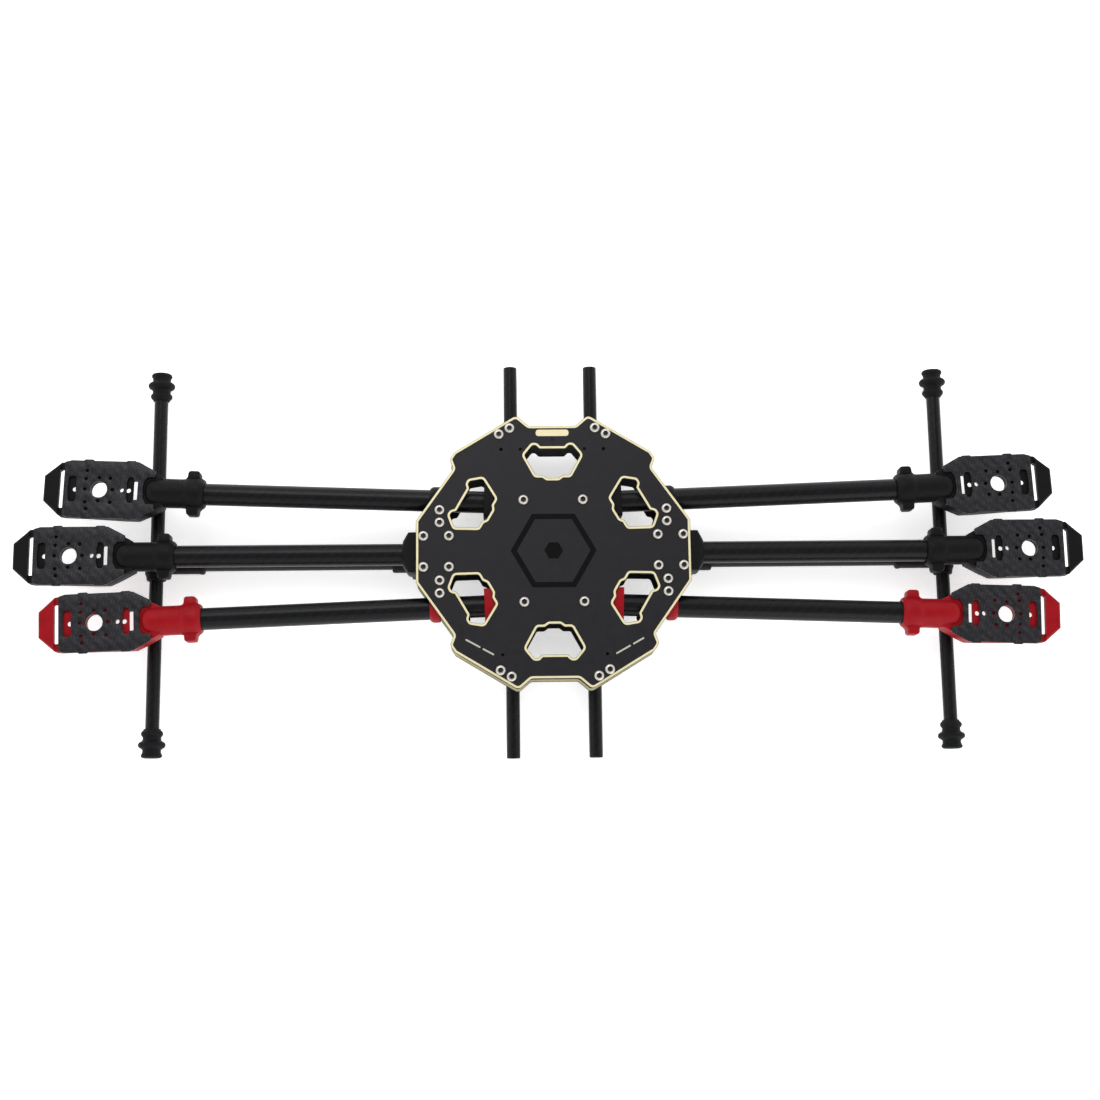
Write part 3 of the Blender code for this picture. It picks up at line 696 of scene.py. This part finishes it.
def socket_screw(head_radius, head_height):
    """Build a button-head screw: a dome with a hexagon socket, sitting at height 0; the socket's walls and
    floor take the second material, which paints the shade inside the deep socket.
    """
    key = head_radius * 0.44
    rings = []
    profile = [(1.0, 0.0), (1.0, 0.28), (0.93, 0.6), (0.76, 0.86), (0.55, 1.0)]
    for part, rise in profile:
        rings.append([on_axis(x, y, rise * head_height, "Z") for x, y in circle((0, 0), part * head_radius)])
    for radius, rise in ((key * 1.1, 1.0), (key, 0.92), (key, 0.25)):
        ring = []
        for index in range(FINE):
            angle = math.tau * index / FINE
            away = ((angle + math.pi / 6) % (math.pi / 3)) - math.pi / 6
            ring.append(polar(radius / math.cos(away), angle, rise * head_height))
        rings.append(ring)
    # The socket bands use material 1, painted shade of the deep socket.
    return loft("socket_screw", rings, len(profile))


def screw_places():
    """Return the hub position of each plate screw."""
    places = []
    for sign_x in (1, -1):
        for sign_y in (1, -1):
            for x, y in CLAMP_SCREWS + REST_SCREWS:
                places.append((sign_x * x, sign_y * y))
            spread_angle = math.radians(ARM_SPREAD)
            for along, across in STOP_SCREWS:
                x = along * math.cos(spread_angle) - across * math.sin(spread_angle)
                y = along * math.sin(spread_angle) + across * math.cos(spread_angle)
                places.append((sign_x * x, sign_y * y))
    return places


def screw_set(name, places, height, upward=True, head=HEAD_RADIUS, rise=1.8):
    """Build one mesh of equal screws, each turned a little differently."""
    meshes = []
    for index, (x, y) in enumerate(places):
        mesh = socket_screw(head, rise)
        if not upward:
            mesh.transform(Matrix.Rotation(math.pi, 4, "X"))
        meshes.append(shifted(mesh, x, y, height, index * 37.0 % 60.0))
    return merged(name, meshes)


def pivot_bolt():
    """Build the folding bolt: round head with a socket, shank, washer and lock nut."""
    head = shifted(socket_screw(HEAD_RADIUS + 0.1, 2.2), z=PLATE_TOP + 0.1)
    shank = rod("shank", BOLT_RADIUS, -PLATE_TOP - 3.0, PLATE_TOP + 0.4, sides=FINE)
    washer = turned("washer", [
        (-PLATE_TOP - 0.9, 2.8), (-PLATE_TOP - 0.9, 4.6), (-PLATE_TOP - 0.1, 4.6), (-PLATE_TOP - 0.1, 2.8),
    ], sides=FINE, ring=True)
    nut_low = -PLATE_TOP - 4.3
    hexagon = [(x, y, 0.4) for x, y in circle((0, 0), 4.6, 6)]
    nut = block("nut", hexagon, nut_low, -PLATE_TOP - 0.9, 0.4)
    return merged("pivot_bolt", [head, shank, washer, nut])


def arm_clamp():
    """Build a fixed arm's clamp: a deep block with a flared collar and two arm rests."""
    flare = []
    for place_x, width, height, corner in CLAMP_FLARE:
        ring = rounded(rectangle(-width, width, -height, height, corner), 8)
        flare.append([on_axis(x, y, place_x, "X") for x, y in ring])
    steps = [(JOIN, loft("flare", flare)), (CUT, rod("bore", SOCKET_RADIUS, 60, 112, "X"))]
    for side in (1, -1):
        low, high = sorted((side * 28.8, side * 38.0))
        channel = rectangle(low, high, -SOCKET_RADIUS, SOCKET_RADIUS, 2.0)
        steps.append((CUT, plain_block("channel", channel, 74, 90, "X")))
        pocket = rectangle(64.5, 73.5, side * 9.6 - 2.2, side * 9.6 + 2.2, 1.2)
        steps.append((CUT, plain_block("pocket", pocket, 9.0, 12.0)))
    solid = block("clamp", both_sides(CLAMP_HALF), -HUB_HALF_HEIGHT, HUB_HALF_HEIGHT, 0.5)
    return combined("arm_clamp", solid, steps)


def end_stop():
    """Build the channel block that an opened arm closes against."""
    lip, wall, back = STOP_ACROSS
    section = [
        (back, -HUB_HALF_HEIGHT, 1.5), (back, HUB_HALF_HEIGHT, 1.5), (lip, HUB_HALF_HEIGHT, 0.4),
        (lip, SOCKET_RADIUS, 0.4), (wall, SOCKET_RADIUS, 1.0), (wall, -SOCKET_RADIUS, 1.0),
        (lip, -SOCKET_RADIUS, 0.4), (lip, -HUB_HALF_HEIGHT, 0.4),
    ]
    pocket = rectangle(12.0, 19.0, -7.5, 7.5, 1.5)
    cut = plain_block("pocket", pocket, 94.0, 100.0, "X")
    return combined("end_stop", block("stop", section, *STOP_SPAN, 0.5, axis="X"), [(CUT, cut)])


def bushing(name, outer, inner, low, high, flange, flange_height):
    """Build the hexagon-flanged, grooved guide of a pull pin."""
    hexagon = [(x, y, 0.3) for x, y in circle((0, 0), flange, 6)]
    loops = [
        (hexagon, soft_levels(high - flange_height, high, 0.3)),
        (circle((0, 0), inner), [(0, high - flange_height, 0), (0, high, 0)]),
    ]
    head = slab("head", loops)
    profile = [(low, inner), (low, outer - 0.4), (low + 0.4, outer)]
    count = 5
    for index in range(count):
        start = low + 0.4 + (high - flange_height - low - 0.4) * index / count
        profile += [(start + 0.15, outer), (start + 0.35, outer - 0.3), (start + 0.55, outer)]
    profile += [(high - flange_height + 0.2, outer), (high - flange_height + 0.2, inner)]
    thread = turned("thread", profile, sides=FINE, ring=True)
    return merged(name, [head, thread])


def index_pin():
    """Build a pull pin: a knurled knob, a neck and a plain nose."""
    rings = []
    for height, radius, depth in (
        (-27.0, 4.2, 0.0), (-26.5, 4.9, 0.22), (-23.5, 4.9, 0.22), (-23.0, 4.3, 0.0), (-23.0, 2.3, 0.0),
        (-22.4, 2.0, 0.0), (-12.0, 2.0, 0.0), (-11.2, 1.3, 0.0),
    ):
        ring = []
        for index in range(ROUND):
            reach = radius - (depth if index % 2 else 0.0)
            ring.append(polar(reach, math.tau * index / ROUND, height))
        rings.append(ring)
    return loft("index_pin", rings)


def rail_hanger():
    """Build a hanger: a bar with two round eyes for the rails."""
    top = -PLATE_TOP - 0.1
    bar = top - 4.2
    eye = 8.0
    outline = [(RAIL_OFFSET + eye, top - 1.0), (RAIL_OFFSET + eye - 1.0, top)]
    outline += [(-RAIL_OFFSET - eye + 1.0, top), (-RAIL_OFFSET - eye, top - 1.0)]
    outline += arc((-RAIL_OFFSET, RAIL_HEIGHT), eye, 180, 360, 20)
    outline += [(-RAIL_OFFSET + eye, bar - 1.5), (-RAIL_OFFSET + eye + 1.5, bar)]
    outline += [(RAIL_OFFSET - eye - 1.5, bar), (RAIL_OFFSET - eye, bar - 1.5)]
    outline += arc((RAIL_OFFSET, RAIL_HEIGHT), eye, 180, 360, 20)
    holes = [circle((side * RAIL_OFFSET, RAIL_HEIGHT), 6.5, ROUND) for side in (-1, 1)]
    return block("rail_hanger", outline, -5.0, 5.0, 0.5, holes, "Y")


def grommet():
    """Build the rubber ring between a rail and its hanger."""
    profile = [
        (-5.9, 5.2), (-5.9, 6.6), (-5.2, 7.2), (-4.9, 6.45), (4.9, 6.45), (5.2, 7.2), (5.9, 6.6), (5.9, 5.2),
    ]
    return turned("grommet", profile, "Y", ring=True)


def leg_bracket():
    """Build the fork that a landing leg folds in."""
    top = -PLATE_TOP - 0.1
    roof = LEG_HEIGHT + 8.6
    low = LEG_HEIGHT - 6.5
    section = [
        (13.6, top, 0.6), (-13.6, top, 0.6), (-13.6, low, 2.5), (-10.4, low, 0.6), (-10.4, roof, 1.0),
        (10.4, roof, 1.0), (10.4, low, 0.6), (13.6, low, 2.5),
    ]
    fork = block("fork", section, LEG_PIVOT - 9.0, LEG_PIVOT + 7.5, 0.7, axis="X")
    hole = shifted(rod("hole", 3.3, -16, 16, "Y", FINE), x=LEG_PIVOT, z=LEG_HEIGHT)
    return combined("leg_bracket", fork, [(CUT, hole)])


def build_hub(looks, pivots, base):
    """Make everything that stays with the hub."""
    plates = [looks["plate_black"], looks["gold"], looks["plate_edge"]]
    bolt_places = [(pivot.x / MM, pivot.y / MM) for pivot in pivots.values()]
    top = hub_plate("top_plate", PLATE_TOP - PLATE_THICKNESS, bolt_places, True)
    place("hub_top_plate", top, plates, HUB, base, "top_plate")
    bottom = hub_plate("bottom_plate", -PLATE_TOP, bolt_places, False)
    place("hub_bottom_plate", bottom, plates, HUB, base, "bottom_plate")
    pad = rectangle(-12.0, 12.0, 84.6, 89.4, 2.3)
    place("nose_bonding_pad", printed("pad", [pad]), [looks["gold"]], HUB, base)
    build_marks(looks, base)
    places = screw_places()
    # The second look is dark steel used as painted shade inside the screw sockets.
    screw_and_socket_shade_looks = [looks["steel"], looks["dark_steel_and_socket_shade"]]
    upper = screw_set("upper_plate_screws", places, PLATE_TOP + 0.02)
    place("upper_plate_screws", upper, screw_and_socket_shade_looks, HUB, base)
    lower = screw_set("lower_plate_screws", places, -PLATE_TOP - 0.02, upward=False)
    place("lower_plate_screws", lower, screw_and_socket_shade_looks, HUB, base)
    build_rails(looks, base)


def printed(name, loops):
    """Build a thin layer of ink or plating on top of the upper plate."""
    levels = [(0.0, PLATE_TOP - 0.05, 0), (0.0, PLATE_TOP + 0.03, 0)]
    return slab(name, [(loop, levels) for loop in loops])


def build_marks(looks, base):
    """Print two plain dashes on each tail corner, and a plain hexagon round the hub's centre."""
    dashes = []
    for side, turn in ((-1, -29.0), (1, 29.0)):
        for start, length in ((-11.5, 12.0), (2.5, 9.0)):
            bar = printed("dash", [rectangle(start, start + length, -0.6, 0.6, 0.5)])
            dashes.append(shifted(bar, side * 53.6, -69.4, 0.0, turn))
    place("tail_marks", merged("tail_marks", dashes), [looks["ink"]], HUB, base)
    ring = printed("ring", [circle((0, 0), 31.0, 6), circle((0, 0), 26.5, 6)])
    spot = printed("spot", [circle((0, 0), 6.8, 6)])
    mark = merged("centre_mark", [ring, spot])
    place("centre_mark", mark, [looks["dark_ink"]], HUB, base)


def build_rails(looks, base):
    """Make the two rails, their hangers and their rubber rings."""
    tube = hollow_tube("rail", SLIM_TUBE, -RAIL_HALF_LENGTH, RAIL_HALF_LENGTH, "Y")
    for side, sign in (("left", -1), ("right", 1)):
        where = base @ at(sign * RAIL_OFFSET, 0, RAIL_HEIGHT)
        name = "rail_" + side
        place("accessory_" + name, tube, [looks["tube"]], HUB, where, name)
    hanger = rail_hanger()
    ring = grommet()
    for end, sign in (("front", 1), ("rear", -1)):
        where = base @ at(0, sign * HANGER_PLACE, 0)
        place("hanger_" + end, hanger, [looks["black"]], HUB, where, "rail_hanger_" + end)
        for side, offset in (("left", -RAIL_OFFSET), ("right", RAIL_OFFSET)):
            eye = where @ at(offset, 0, RAIL_HEIGHT)
            place("rail_grommet_" + end + "_" + side, ring, [looks["rubber"]], HUB, eye)


# ---- arms

def pivot_block(hand):
    """Build a folding arm's root block; hand is 1 or -1 for its opening direction."""
    half = BLOCK_HALF_WIDTH
    blend = math.degrees(math.asin(half / BLOCK_RADIUS))
    outline = [(BLOCK_REACH, -half), (BLOCK_REACH, half)]
    outline += arc((0, 0), BLOCK_RADIUS, blend, 360 - blend, 40)
    steps = [
        (CUT, rod("socket", SOCKET_RADIUS, 16.0, 31.0, "X")),
        (CUT, rod("bolt_hole", BOLT_HOLE_RADIUS, -12, 12, sides=FINE)),
        (CUT, rod("top_recess", 6.0, 10.1, 12)),
    ]
    holes = []
    for turn in (180 - FOLDED_ANGLE, 180 - ARM_SPREAD):
        hole = shifted(rod("index_hole", INDEX_HOLE_RADIUS, -12, -5.2, sides=FINE), x=INDEX_RADIUS)
        holes.append(shifted(hole, turn=hand * turn))
    steps.append((CUT, merged("index_holes", holes)))
    solid = block("block", outline, -HUB_HALF_HEIGHT, HUB_HALF_HEIGHT, 0.8)
    return combined("pivot_block", solid, steps)


def arm_collar():
    """Build the tapered ring on a folding arm where it leaves the plates."""
    profile = [
        (60.5, SOCKET_RADIUS), (60.5, 9.8), (61.0, 10.2), (61.6, 10.3), (65.0, 10.3), (66.2, 10.0),
        (67.6, 9.0), (68.0, SOCKET_RADIUS),
    ]
    return turned("arm_collar", profile, "X", ring=True)


def motor_base():
    """Build the moulded motor mount: a thin deck on a skirt, an end cap, ribs and the barrel."""
    low = -BARREL_RADIUS + 0.2
    cap_levels = [(0.0, 2.0, 0), (0.0, 6.6, 0), (0.5, 7.6, 0), (1.4, 8.25, 0), (1.8, 8.3, 0)]
    steps = [
        (JOIN, slab("cap", [(both_sides(CAP_HALF), cap_levels)])),
        (JOIN, barrel()),
        (JOIN, ear(1)),
        (JOIN, ear(-1)),
        (CUT, plain_block("taper", MOUNT_TAPER, -24, 24, "Y")),
        (CUT, plain_block("hollow", both_sides(MOUNT_HOLLOW_HALF), -13, DECK_BOTTOM)),
    ]
    steps += [(JOIN, rib) for rib in mount_ribs()]
    outer, inner = BOSS_RADII
    steps.append((JOIN, rod("boss", outer, 0.0, DECK_BOTTOM + 0.5)))
    steps.append((CUT, rod("motor_bore", inner, -3.0, MOUNT_TOP + 3.0, sides=40)))
    cuts = [shifted(rod("hole", DECK_HOLE_RADIUS, -13, 11, sides=FINE), x, y) for x, y in DECK_HOLES]
    for x0, x1, reach in (OUTER_SLOT, INNER_SLOT):
        cuts.append(plain_block("slot", rectangle(x0, x1, -reach, reach, 1.0), -13, 11))
    steps.append((CUT, merged("deck_cuts", cuts)))
    steps.append((CUT, rod("arm_bore", SOCKET_RADIUS, -77.0, TUBE_STOP, "X")))
    steps.append((CUT, rod("wire_way", 4.5, TUBE_STOP - 2, -28.6, "X")))
    return combined("motor_base", block("tray", both_sides(MOUNT_HALF), low, MOUNT_TOP), steps, 40)


def mount_ribs():
    """Return the thin ribs that stiffen the deck from below."""
    half = RIB_THICKNESS / 2
    near, far = RIB_PLACES["across"]
    outlines = [rectangle(x - half, x + half, -18.6, 18.6) for x in RIB_PLACES["across"]]
    outlines += [rectangle(near, far, y - half, y + half) for y in RIB_PLACES["along"]]
    return [plain_block("rib", outline, 0.9, DECK_BOTTOM + 0.4) for outline in outlines]


def barrel():
    """Build the barrel that grips the arm tube, with its round nose and its flared end."""
    bend = 7.0
    profile = [(BARREL_NOSE, 0)]
    profile += arc((BARREL_NOSE - bend, BARREL_RADIUS - bend), bend, 5, 90, 8)
    profile += [
        (-59.0, BARREL_RADIUS), (-61.0, 10.9), (-62.5, 11.6), (-64.0, 12.1), (-70.5, 12.1), (-72.0, 11.8),
        (-74.3, 10.6), (BARREL_END, 9.9), (BARREL_END, 0),
    ]
    return turned("barrel", profile, "X")


def ear(side):
    """Build one clamp ear: a round knob that swells out of the barrel's flared end."""
    outline = [(x, side * y, radius) for x, y, radius in EAR_HALF]
    return block("ear", outline, -EAR_HALF_HEIGHT, EAR_HALF_HEIGHT, 1.4)


def motor_plate():
    """Build the drilled carbon plate that a motor bolts to."""
    holes = [circle((0, 0), MOTOR_BORE_RADIUS, ROUND), both_sides(INNER_CUTOUT_HALF), kidney(*OUTER_CUTOUT)]
    holes += [circle(centre, 1.35, 16) for centre in MOTOR_SCREW_HOLES]
    holes.append(circle((-16.3, 0.0), DECK_HOLE_RADIUS, 16))
    return block("motor_plate", both_sides(MOTOR_PLATE_HALF), *MOTOR_PLATE_SPAN, 0.2, holes)


def kidney(x, reach, width):
    """Return a tall slot whose two long sides bulge away from the motor axis."""
    bulge = 0.64
    fillet = width * 0.4
    near = x - width / 2
    far = x + width / 2 - bulge
    return [
        (near, -reach, fillet), (far, -reach, fillet), (far + bulge, 0.0, 6.0),
        (far, reach, fillet), (near, reach, fillet), (near + bulge, 0.0, 6.0),
    ]


def build_mount(looks, corner, body, axis, meshes, colour):
    """Put one motor mount on the end of an arm."""
    base_mesh, plate_mesh = meshes
    place("mount_" + corner, base_mesh, [looks[colour]], body, axis, "motor_base_" + corner)
    place("mount_plate_" + corner, plate_mesh, [looks["carbon"]], body, axis, "motor_plate_" + corner)
    screws = screw_set("ear_screws", EAR_SCREWS, -EAR_HALF_HEIGHT, False, 2.4, 1.4)
    place("ear_screws_" + corner, screws, [looks["dark_steel_and_socket_shade"]] * 2, body, axis)


def build_fixed_arms(looks, base, mount_meshes):
    """Make the left and the right arm."""
    clamp = arm_clamp()
    tube = hollow_tube("fixed_arm", ARM_TUBE, 64.0, FIXED_REACH + TUBE_STOP - 0.3)
    for side, turn in (("mid_left", 180), ("mid_right", 0)):
        where = base @ at(turn=turn)
        place("clamp_" + side, clamp, [looks["black"]], HUB, where, "arm_clamp_" + side)
        place("tube_" + side, tube, [looks["tube"]], HUB, where, "arm_tube_" + side)
        build_mount(looks, side, HUB, where @ at(FIXED_REACH), mount_meshes, "black")


def build_folding_arms(looks, pivots, mount_meshes):
    """Make the four folding arms with their bolts, stops and pull pins."""
    tube = hollow_tube("folding_arm", ARM_TUBE, 16.3, FOLDED_REACH + TUBE_STOP - 0.3)
    collar = arm_collar()
    bolt = pivot_bolt()
    pin = index_pin()
    guide = bushing("pin_guide", 3.4, 2.2, -18.6, -13.1, 4.6, 2.0)
    # The second look is dark steel used as painted shade inside the bolt head's socket.
    bolt_and_socket_shade_looks = [looks["steel"], looks["dark_steel_and_socket_shade"]]
    for corner, pivot in pivots.items():
        x, y, z = pivot
        hand = 1 if x * y > 0 else -1
        facing = 0 if x > 0 else 180
        body = "arm_" + corner
        colour = "black" if y > 0 else "red"
        plastic = [looks[colour]]
        where = Matrix.Translation(pivot) @ at(turn=facing + hand * FOLDED_ANGLE)
        place("root_block_" + corner, pivot_block(hand), plastic, body, where, "pivot_block_" + corner)
        place("tube_" + corner, tube, [looks["tube"]], body, where, "arm_tube_" + corner)
        place("collar_" + corner, collar, plastic, body, where, "arm_collar_" + corner)
        build_mount(looks, corner, body, where @ at(FOLDED_REACH), mount_meshes, colour)
        upright = Matrix.Translation(pivot)
        place("folding_bolt_" + corner, bolt, bolt_and_socket_shade_looks, HUB, upright, "pivot_bolt_" + corner)
        stop = end_stop()
        if hand < 0:
            stop.transform(Matrix.Scale(-1, 4, (0, 1, 0)))
            stop.flip_normals()
        centre = Matrix.Translation((0, 0, z)) @ at(turn=math.degrees(math.atan2(y, x)))
        place("stop_" + corner, stop, [looks["black"]], HUB, centre, "end_stop_" + corner)
        pin_place = Matrix.Translation((x - math.copysign(INDEX_RADIUS * MM, x), y, z))
        knob = [looks["dark_steel_and_socket_shade"]]
        place("pull_pin_" + corner, pin, knob, "pin_" + corner, pin_place, "index_pin_" + corner)
        place("pin_guide_" + corner, guide, [looks["steel"]], HUB, pin_place)


# ---- landing gear

def leg_knuckle():
    """Build a leg's knuckle: a round hinge barrel with trunnions and a sleeve for the tube."""
    outline = [(9.6, -8.2), (9.6, 8.2)] + arc((0, 0), 8.2, 90, 270, 24)
    body = block("body", outline, -10.0, 10.0, 0.6, axis="Y")
    sleeve = turned("sleeve", [
        (8.5, 0), (8.5, 8.7), (9.2, 9.3), (20.6, 9.3), (21.6, 8.9), (22.0, 8.2), (22.0, 0),
    ], "X")
    bore = rod("bore", LEG_BORE_RADIUS, 9.7, 24.0, "X")
    pins = [(-13.4, 0), (-13.4, 2.6), (-13.0, 3.0), (13.0, 3.0), (13.4, 2.6), (13.4, 0)]
    trunnion = turned("trunnion", pins, "Y", FINE)
    return combined("leg_knuckle", body, [(JOIN, sleeve), (JOIN, trunnion), (CUT, bore)])


def skid_tee():
    """Build the tee of leg and skid: a beaded sleeve and a flared cross sleeve."""
    profile = [
        (256.0, 0), (256.0, 8.8), (256.6, 9.4), (258.6, 9.4), (259.3, 9.0), (282.0, 9.0), (296.0, 8.9),
        (298.4, 8.2), (300.0, 6.4), (300.5, 4.0), (300.5, 0),
    ]
    half = [(14.0, 0), (14.0, 6.4), (13.4, 7.0), (12.2, 7.2), (10.5, 7.5), (8.8, 8.3)]
    cross = [(-along, radius) for along, radius in half] + half[::-1]
    sleeve = shifted(turned("cross", cross, "Y"), x=SKID_PLACE)
    steps = [
        (JOIN, sleeve),
        (CUT, rod("leg_bore", LEG_BORE_RADIUS, 254.0, SKID_PLACE - 7.0, "X")),
        (CUT, shifted(rod("skid_bore", SKID_BORE_RADIUS, -16, 16, "Y"), x=SKID_PLACE)),
    ]
    return combined("skid_tee", turned("tee", profile, "X"), steps)


def foot():
    """Build a ribbed rubber foot, closed at +Y."""
    profile = [
        (0, 0), (0, 5.6), (-0.4, 6.9), (-1.2, 7.5), (-2.2, 7.6), (-3.0, 7.1), (-3.8, 6.7), (-5.2, 6.5),
        (-6.2, 6.8), (-6.9, 7.8), (-7.6, 9.0), (-8.5, 9.65), (-9.4, 9.8), (-10.3, 9.65), (-11.2, 9.0),
        (-11.9, 7.8), (-12.6, 6.8), (-13.6, 6.5), (-14.8, 6.5), (-15.6, 6.9), (-16.4, 7.6), (-17.4, 7.9),
        (-18.5, 7.7), (-19.4, 7.0), (-20.1, 6.3), (-21.0, 5.9), (-21.0, 5.2), (-2.2, 5.2), (-2.2, 0),
    ]
    return turned("foot", profile, "Y")


def build_landing_gear(looks, base):
    """Make the raised landing legs, their brackets and their skids."""
    bracket = leg_bracket()
    knuckle = leg_knuckle()
    leg = hollow_tube("leg", LEG_TUBE, 106.0, SKID_PLACE - 7.3)
    tee = skid_tee()
    skid = hollow_tube("skid", SLIM_TUBE, -SKID_HALF_LENGTH + 2.5, SKID_HALF_LENGTH - 2.5, "Y")
    rubber = foot()
    for side, sign, turn in (("left", -1, 180), ("right", 1, 0)):
        body = "leg_" + side
        middle = base @ at(turn=turn)
        line = middle @ at(0, 0, LEG_HEIGHT)
        for name, mesh, look, rider, where, node in (
            ("bracket_", bracket, "black", HUB, middle, "leg_bracket_"),
            ("knuckle_", knuckle, "black", body, middle @ at(LEG_PIVOT, 0, LEG_HEIGHT), "leg_knuckle_"),
            ("leg_", leg, "tube", body, line, "leg_tube_"),
            ("tee_", tee, "black", body, line, "skid_tee_"),
            ("skid_", skid, "tube", body, line @ at(SKID_PLACE), "skid_tube_"),
        ):
            place(name + side, mesh, [looks[look]], rider, where, node + side)
        for end, turned_by in (("front", 0), ("rear", 180)):
            facing = base @ at(sign * SKID_PLACE, 0, LEG_HEIGHT, turned_by)
            where = facing @ at(0, SKID_HALF_LENGTH)
            name = "foot_" + end + "_" + side
            place("rubber_" + name, rubber, [looks["rubber"]], body, where, name)


# ---- stage

def build_stage():
    """Lay a plain white floor that glows faintly and reaches past every view."""
    bpy.ops.mesh.primitive_plane_add(size=12.0, location=(0, 0, 0))
    floor = bpy.context.active_object
    floor.name = "studio_floor"
    made, tree, shader, where = new_material("studio_floor")
    colour = tinted(tree, noise(tree, where, 400.0, 2.0), (0.93, 0.93, 0.93), (0.95, 0.95, 0.95))
    tree.links.new(colour, shader.inputs["Base Color"])
    shader.inputs["Roughness"].default_value = 0.9
    shader.inputs["Emission Color"].default_value = (1.0, 1.0, 1.0, 1.0)
    shader.inputs["Emission Strength"].default_value = 0.55
    floor.data.materials.append(made)


def add_area(name, place_at, target, size, power):
    """Add a square soft light that faces a target."""
    light = bpy.data.lights.new(name, "AREA")
    light.shape = "SQUARE"
    light.size = size
    light.energy = power
    lamp = bpy.data.objects.new(name, light)
    lamp.location = place_at
    lamp.rotation_euler = (Vector(target) - Vector(place_at)).to_track_quat("-Z", "Y").to_euler()
    bpy.context.scene.collection.objects.link(lamp)


def build_light():
    """Light the model from a bright band round the horizon, a dimmer ceiling and two soft panels."""
    world = bpy.data.worlds.new("studio")
    world.use_nodes = True
    tree = world.node_tree
    direction = add(tree, "ShaderNodeTexCoord").outputs["Generated"]
    rise = add(tree, "ShaderNodeSeparateXYZ", {"Vector": direction}).outputs["Z"]
    horizon, ceiling = SKY_LEVELS
    ramp = {"Value": rise, "From Min": 0.65, "From Max": 0.9, "To Min": horizon, "To Max": ceiling}
    level = add(tree, "ShaderNodeMapRange", ramp, interpolation_type="SMOOTHSTEP")
    tree.links.new(level.outputs["Result"], tree.nodes["Background"].inputs["Strength"])
    tree.nodes["Background"].inputs["Color"].default_value = (1, 1, 1, 1)
    bpy.context.scene.world = world
    bpy.context.scene.view_settings.view_transform = "Standard"
    add_area("key_panel", (-0.3, 1.1, 1.75), (0, 0, 0), 0.9, 9)
    add_area("fill_panel", (0.9, -1.6, 1.0), (0, 0, 0), 1.4, 5)


def build_camera(height):
    """Set the camera above the hub, leaning a little towards the tail."""
    camera = bpy.data.objects.new("camera", bpy.data.cameras.new("camera"))
    camera.data.lens = CAMERA_LENS
    camera.data.sensor_width = 36.0
    camera.data.shift_x, camera.data.shift_y = CAMERA_SHIFT
    camera.data.clip_start = 0.05
    tilt = Matrix.Rotation(-math.radians(CAMERA_TILT), 4, "X")
    turn = Matrix.Rotation(math.radians(CAMERA_TURN), 4, "Y")
    roll = Matrix.Rotation(math.radians(CAMERA_ROLL), 4, "Z")
    view = roll @ turn @ tilt
    back = Matrix.Translation((0, 0, CAMERA_DISTANCE * MM))
    camera.matrix_world = Matrix.Translation((0, 0, height)) @ view.transposed() @ back
    bpy.context.scene.collection.objects.link(camera)
    bpy.context.scene.camera = camera


def build_looks():
    """Return (material, slot) of each look by its short name."""
    return {
        "plate_black": (laminate("plate_black", (0.0062, 0.0060, 0.0082), 0.42, 0.3), "hub_plate"),
        "plate_edge": (laminate("plate_edge", (0.012, 0.011, 0.009), 0.6, 0.3), "hub_plate"),
        "dark_ink": (laminate("dark_ink", (0.0012, 0.0012, 0.0014), 0.6, 0.1), "hub_plate"),
        "gold": (gold_line(), "hub_plate"),
        "carbon": (carbon_plate(), "carbon_plate"),
        "tube": (carbon_tube(), "carbon_tube"),
        "black": (moulded_nylon("black_nylon", (0.0024, 0.0025, 0.003), 0.5), "black_nylon"),
        "red": (moulded_nylon("red_nylon", (0.27, 0.0022, 0.0062), 0.42), "red_nylon"),
        "steel": (metal("screw_steel", (0.66, 0.63, 0.57), 0.38), "steel"),
        # Dark steel for the pin knobs and ear screws, also used as painted shade inside the sockets of the
        # steel screws and bolts.
        "dark_steel_and_socket_shade": (metal("dark_steel_and_socket_shade", (0.045, 0.045, 0.05), 0.4), "black_metal"),
        "rubber": (soft_rubber(), "rubber"),
        "ink": (printed_ink(), "hub_plate"),
    }


def main():
    """Load the frame, build every piece round it, and set up the floor, light and camera."""
    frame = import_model()
    joints = {joint["name"]: joint for joint in frame["joints"]}
    pivots = {
        corner: Vector(joints["fold_" + corner]["pos_m"])
        for corner in ("front_right", "front_left", "rear_left", "rear_right")
    }
    arm_height = pivots["front_right"].z
    base = Matrix.Translation((0, 0, arm_height))
    looks = build_looks()
    mount_meshes = (motor_base(), motor_plate())
    build_hub(looks, pivots, base)
    build_fixed_arms(looks, base, mount_meshes)
    build_folding_arms(looks, pivots, mount_meshes)
    build_landing_gear(looks, base)
    build_stage()
    build_light()
    build_camera(arm_height)


main()
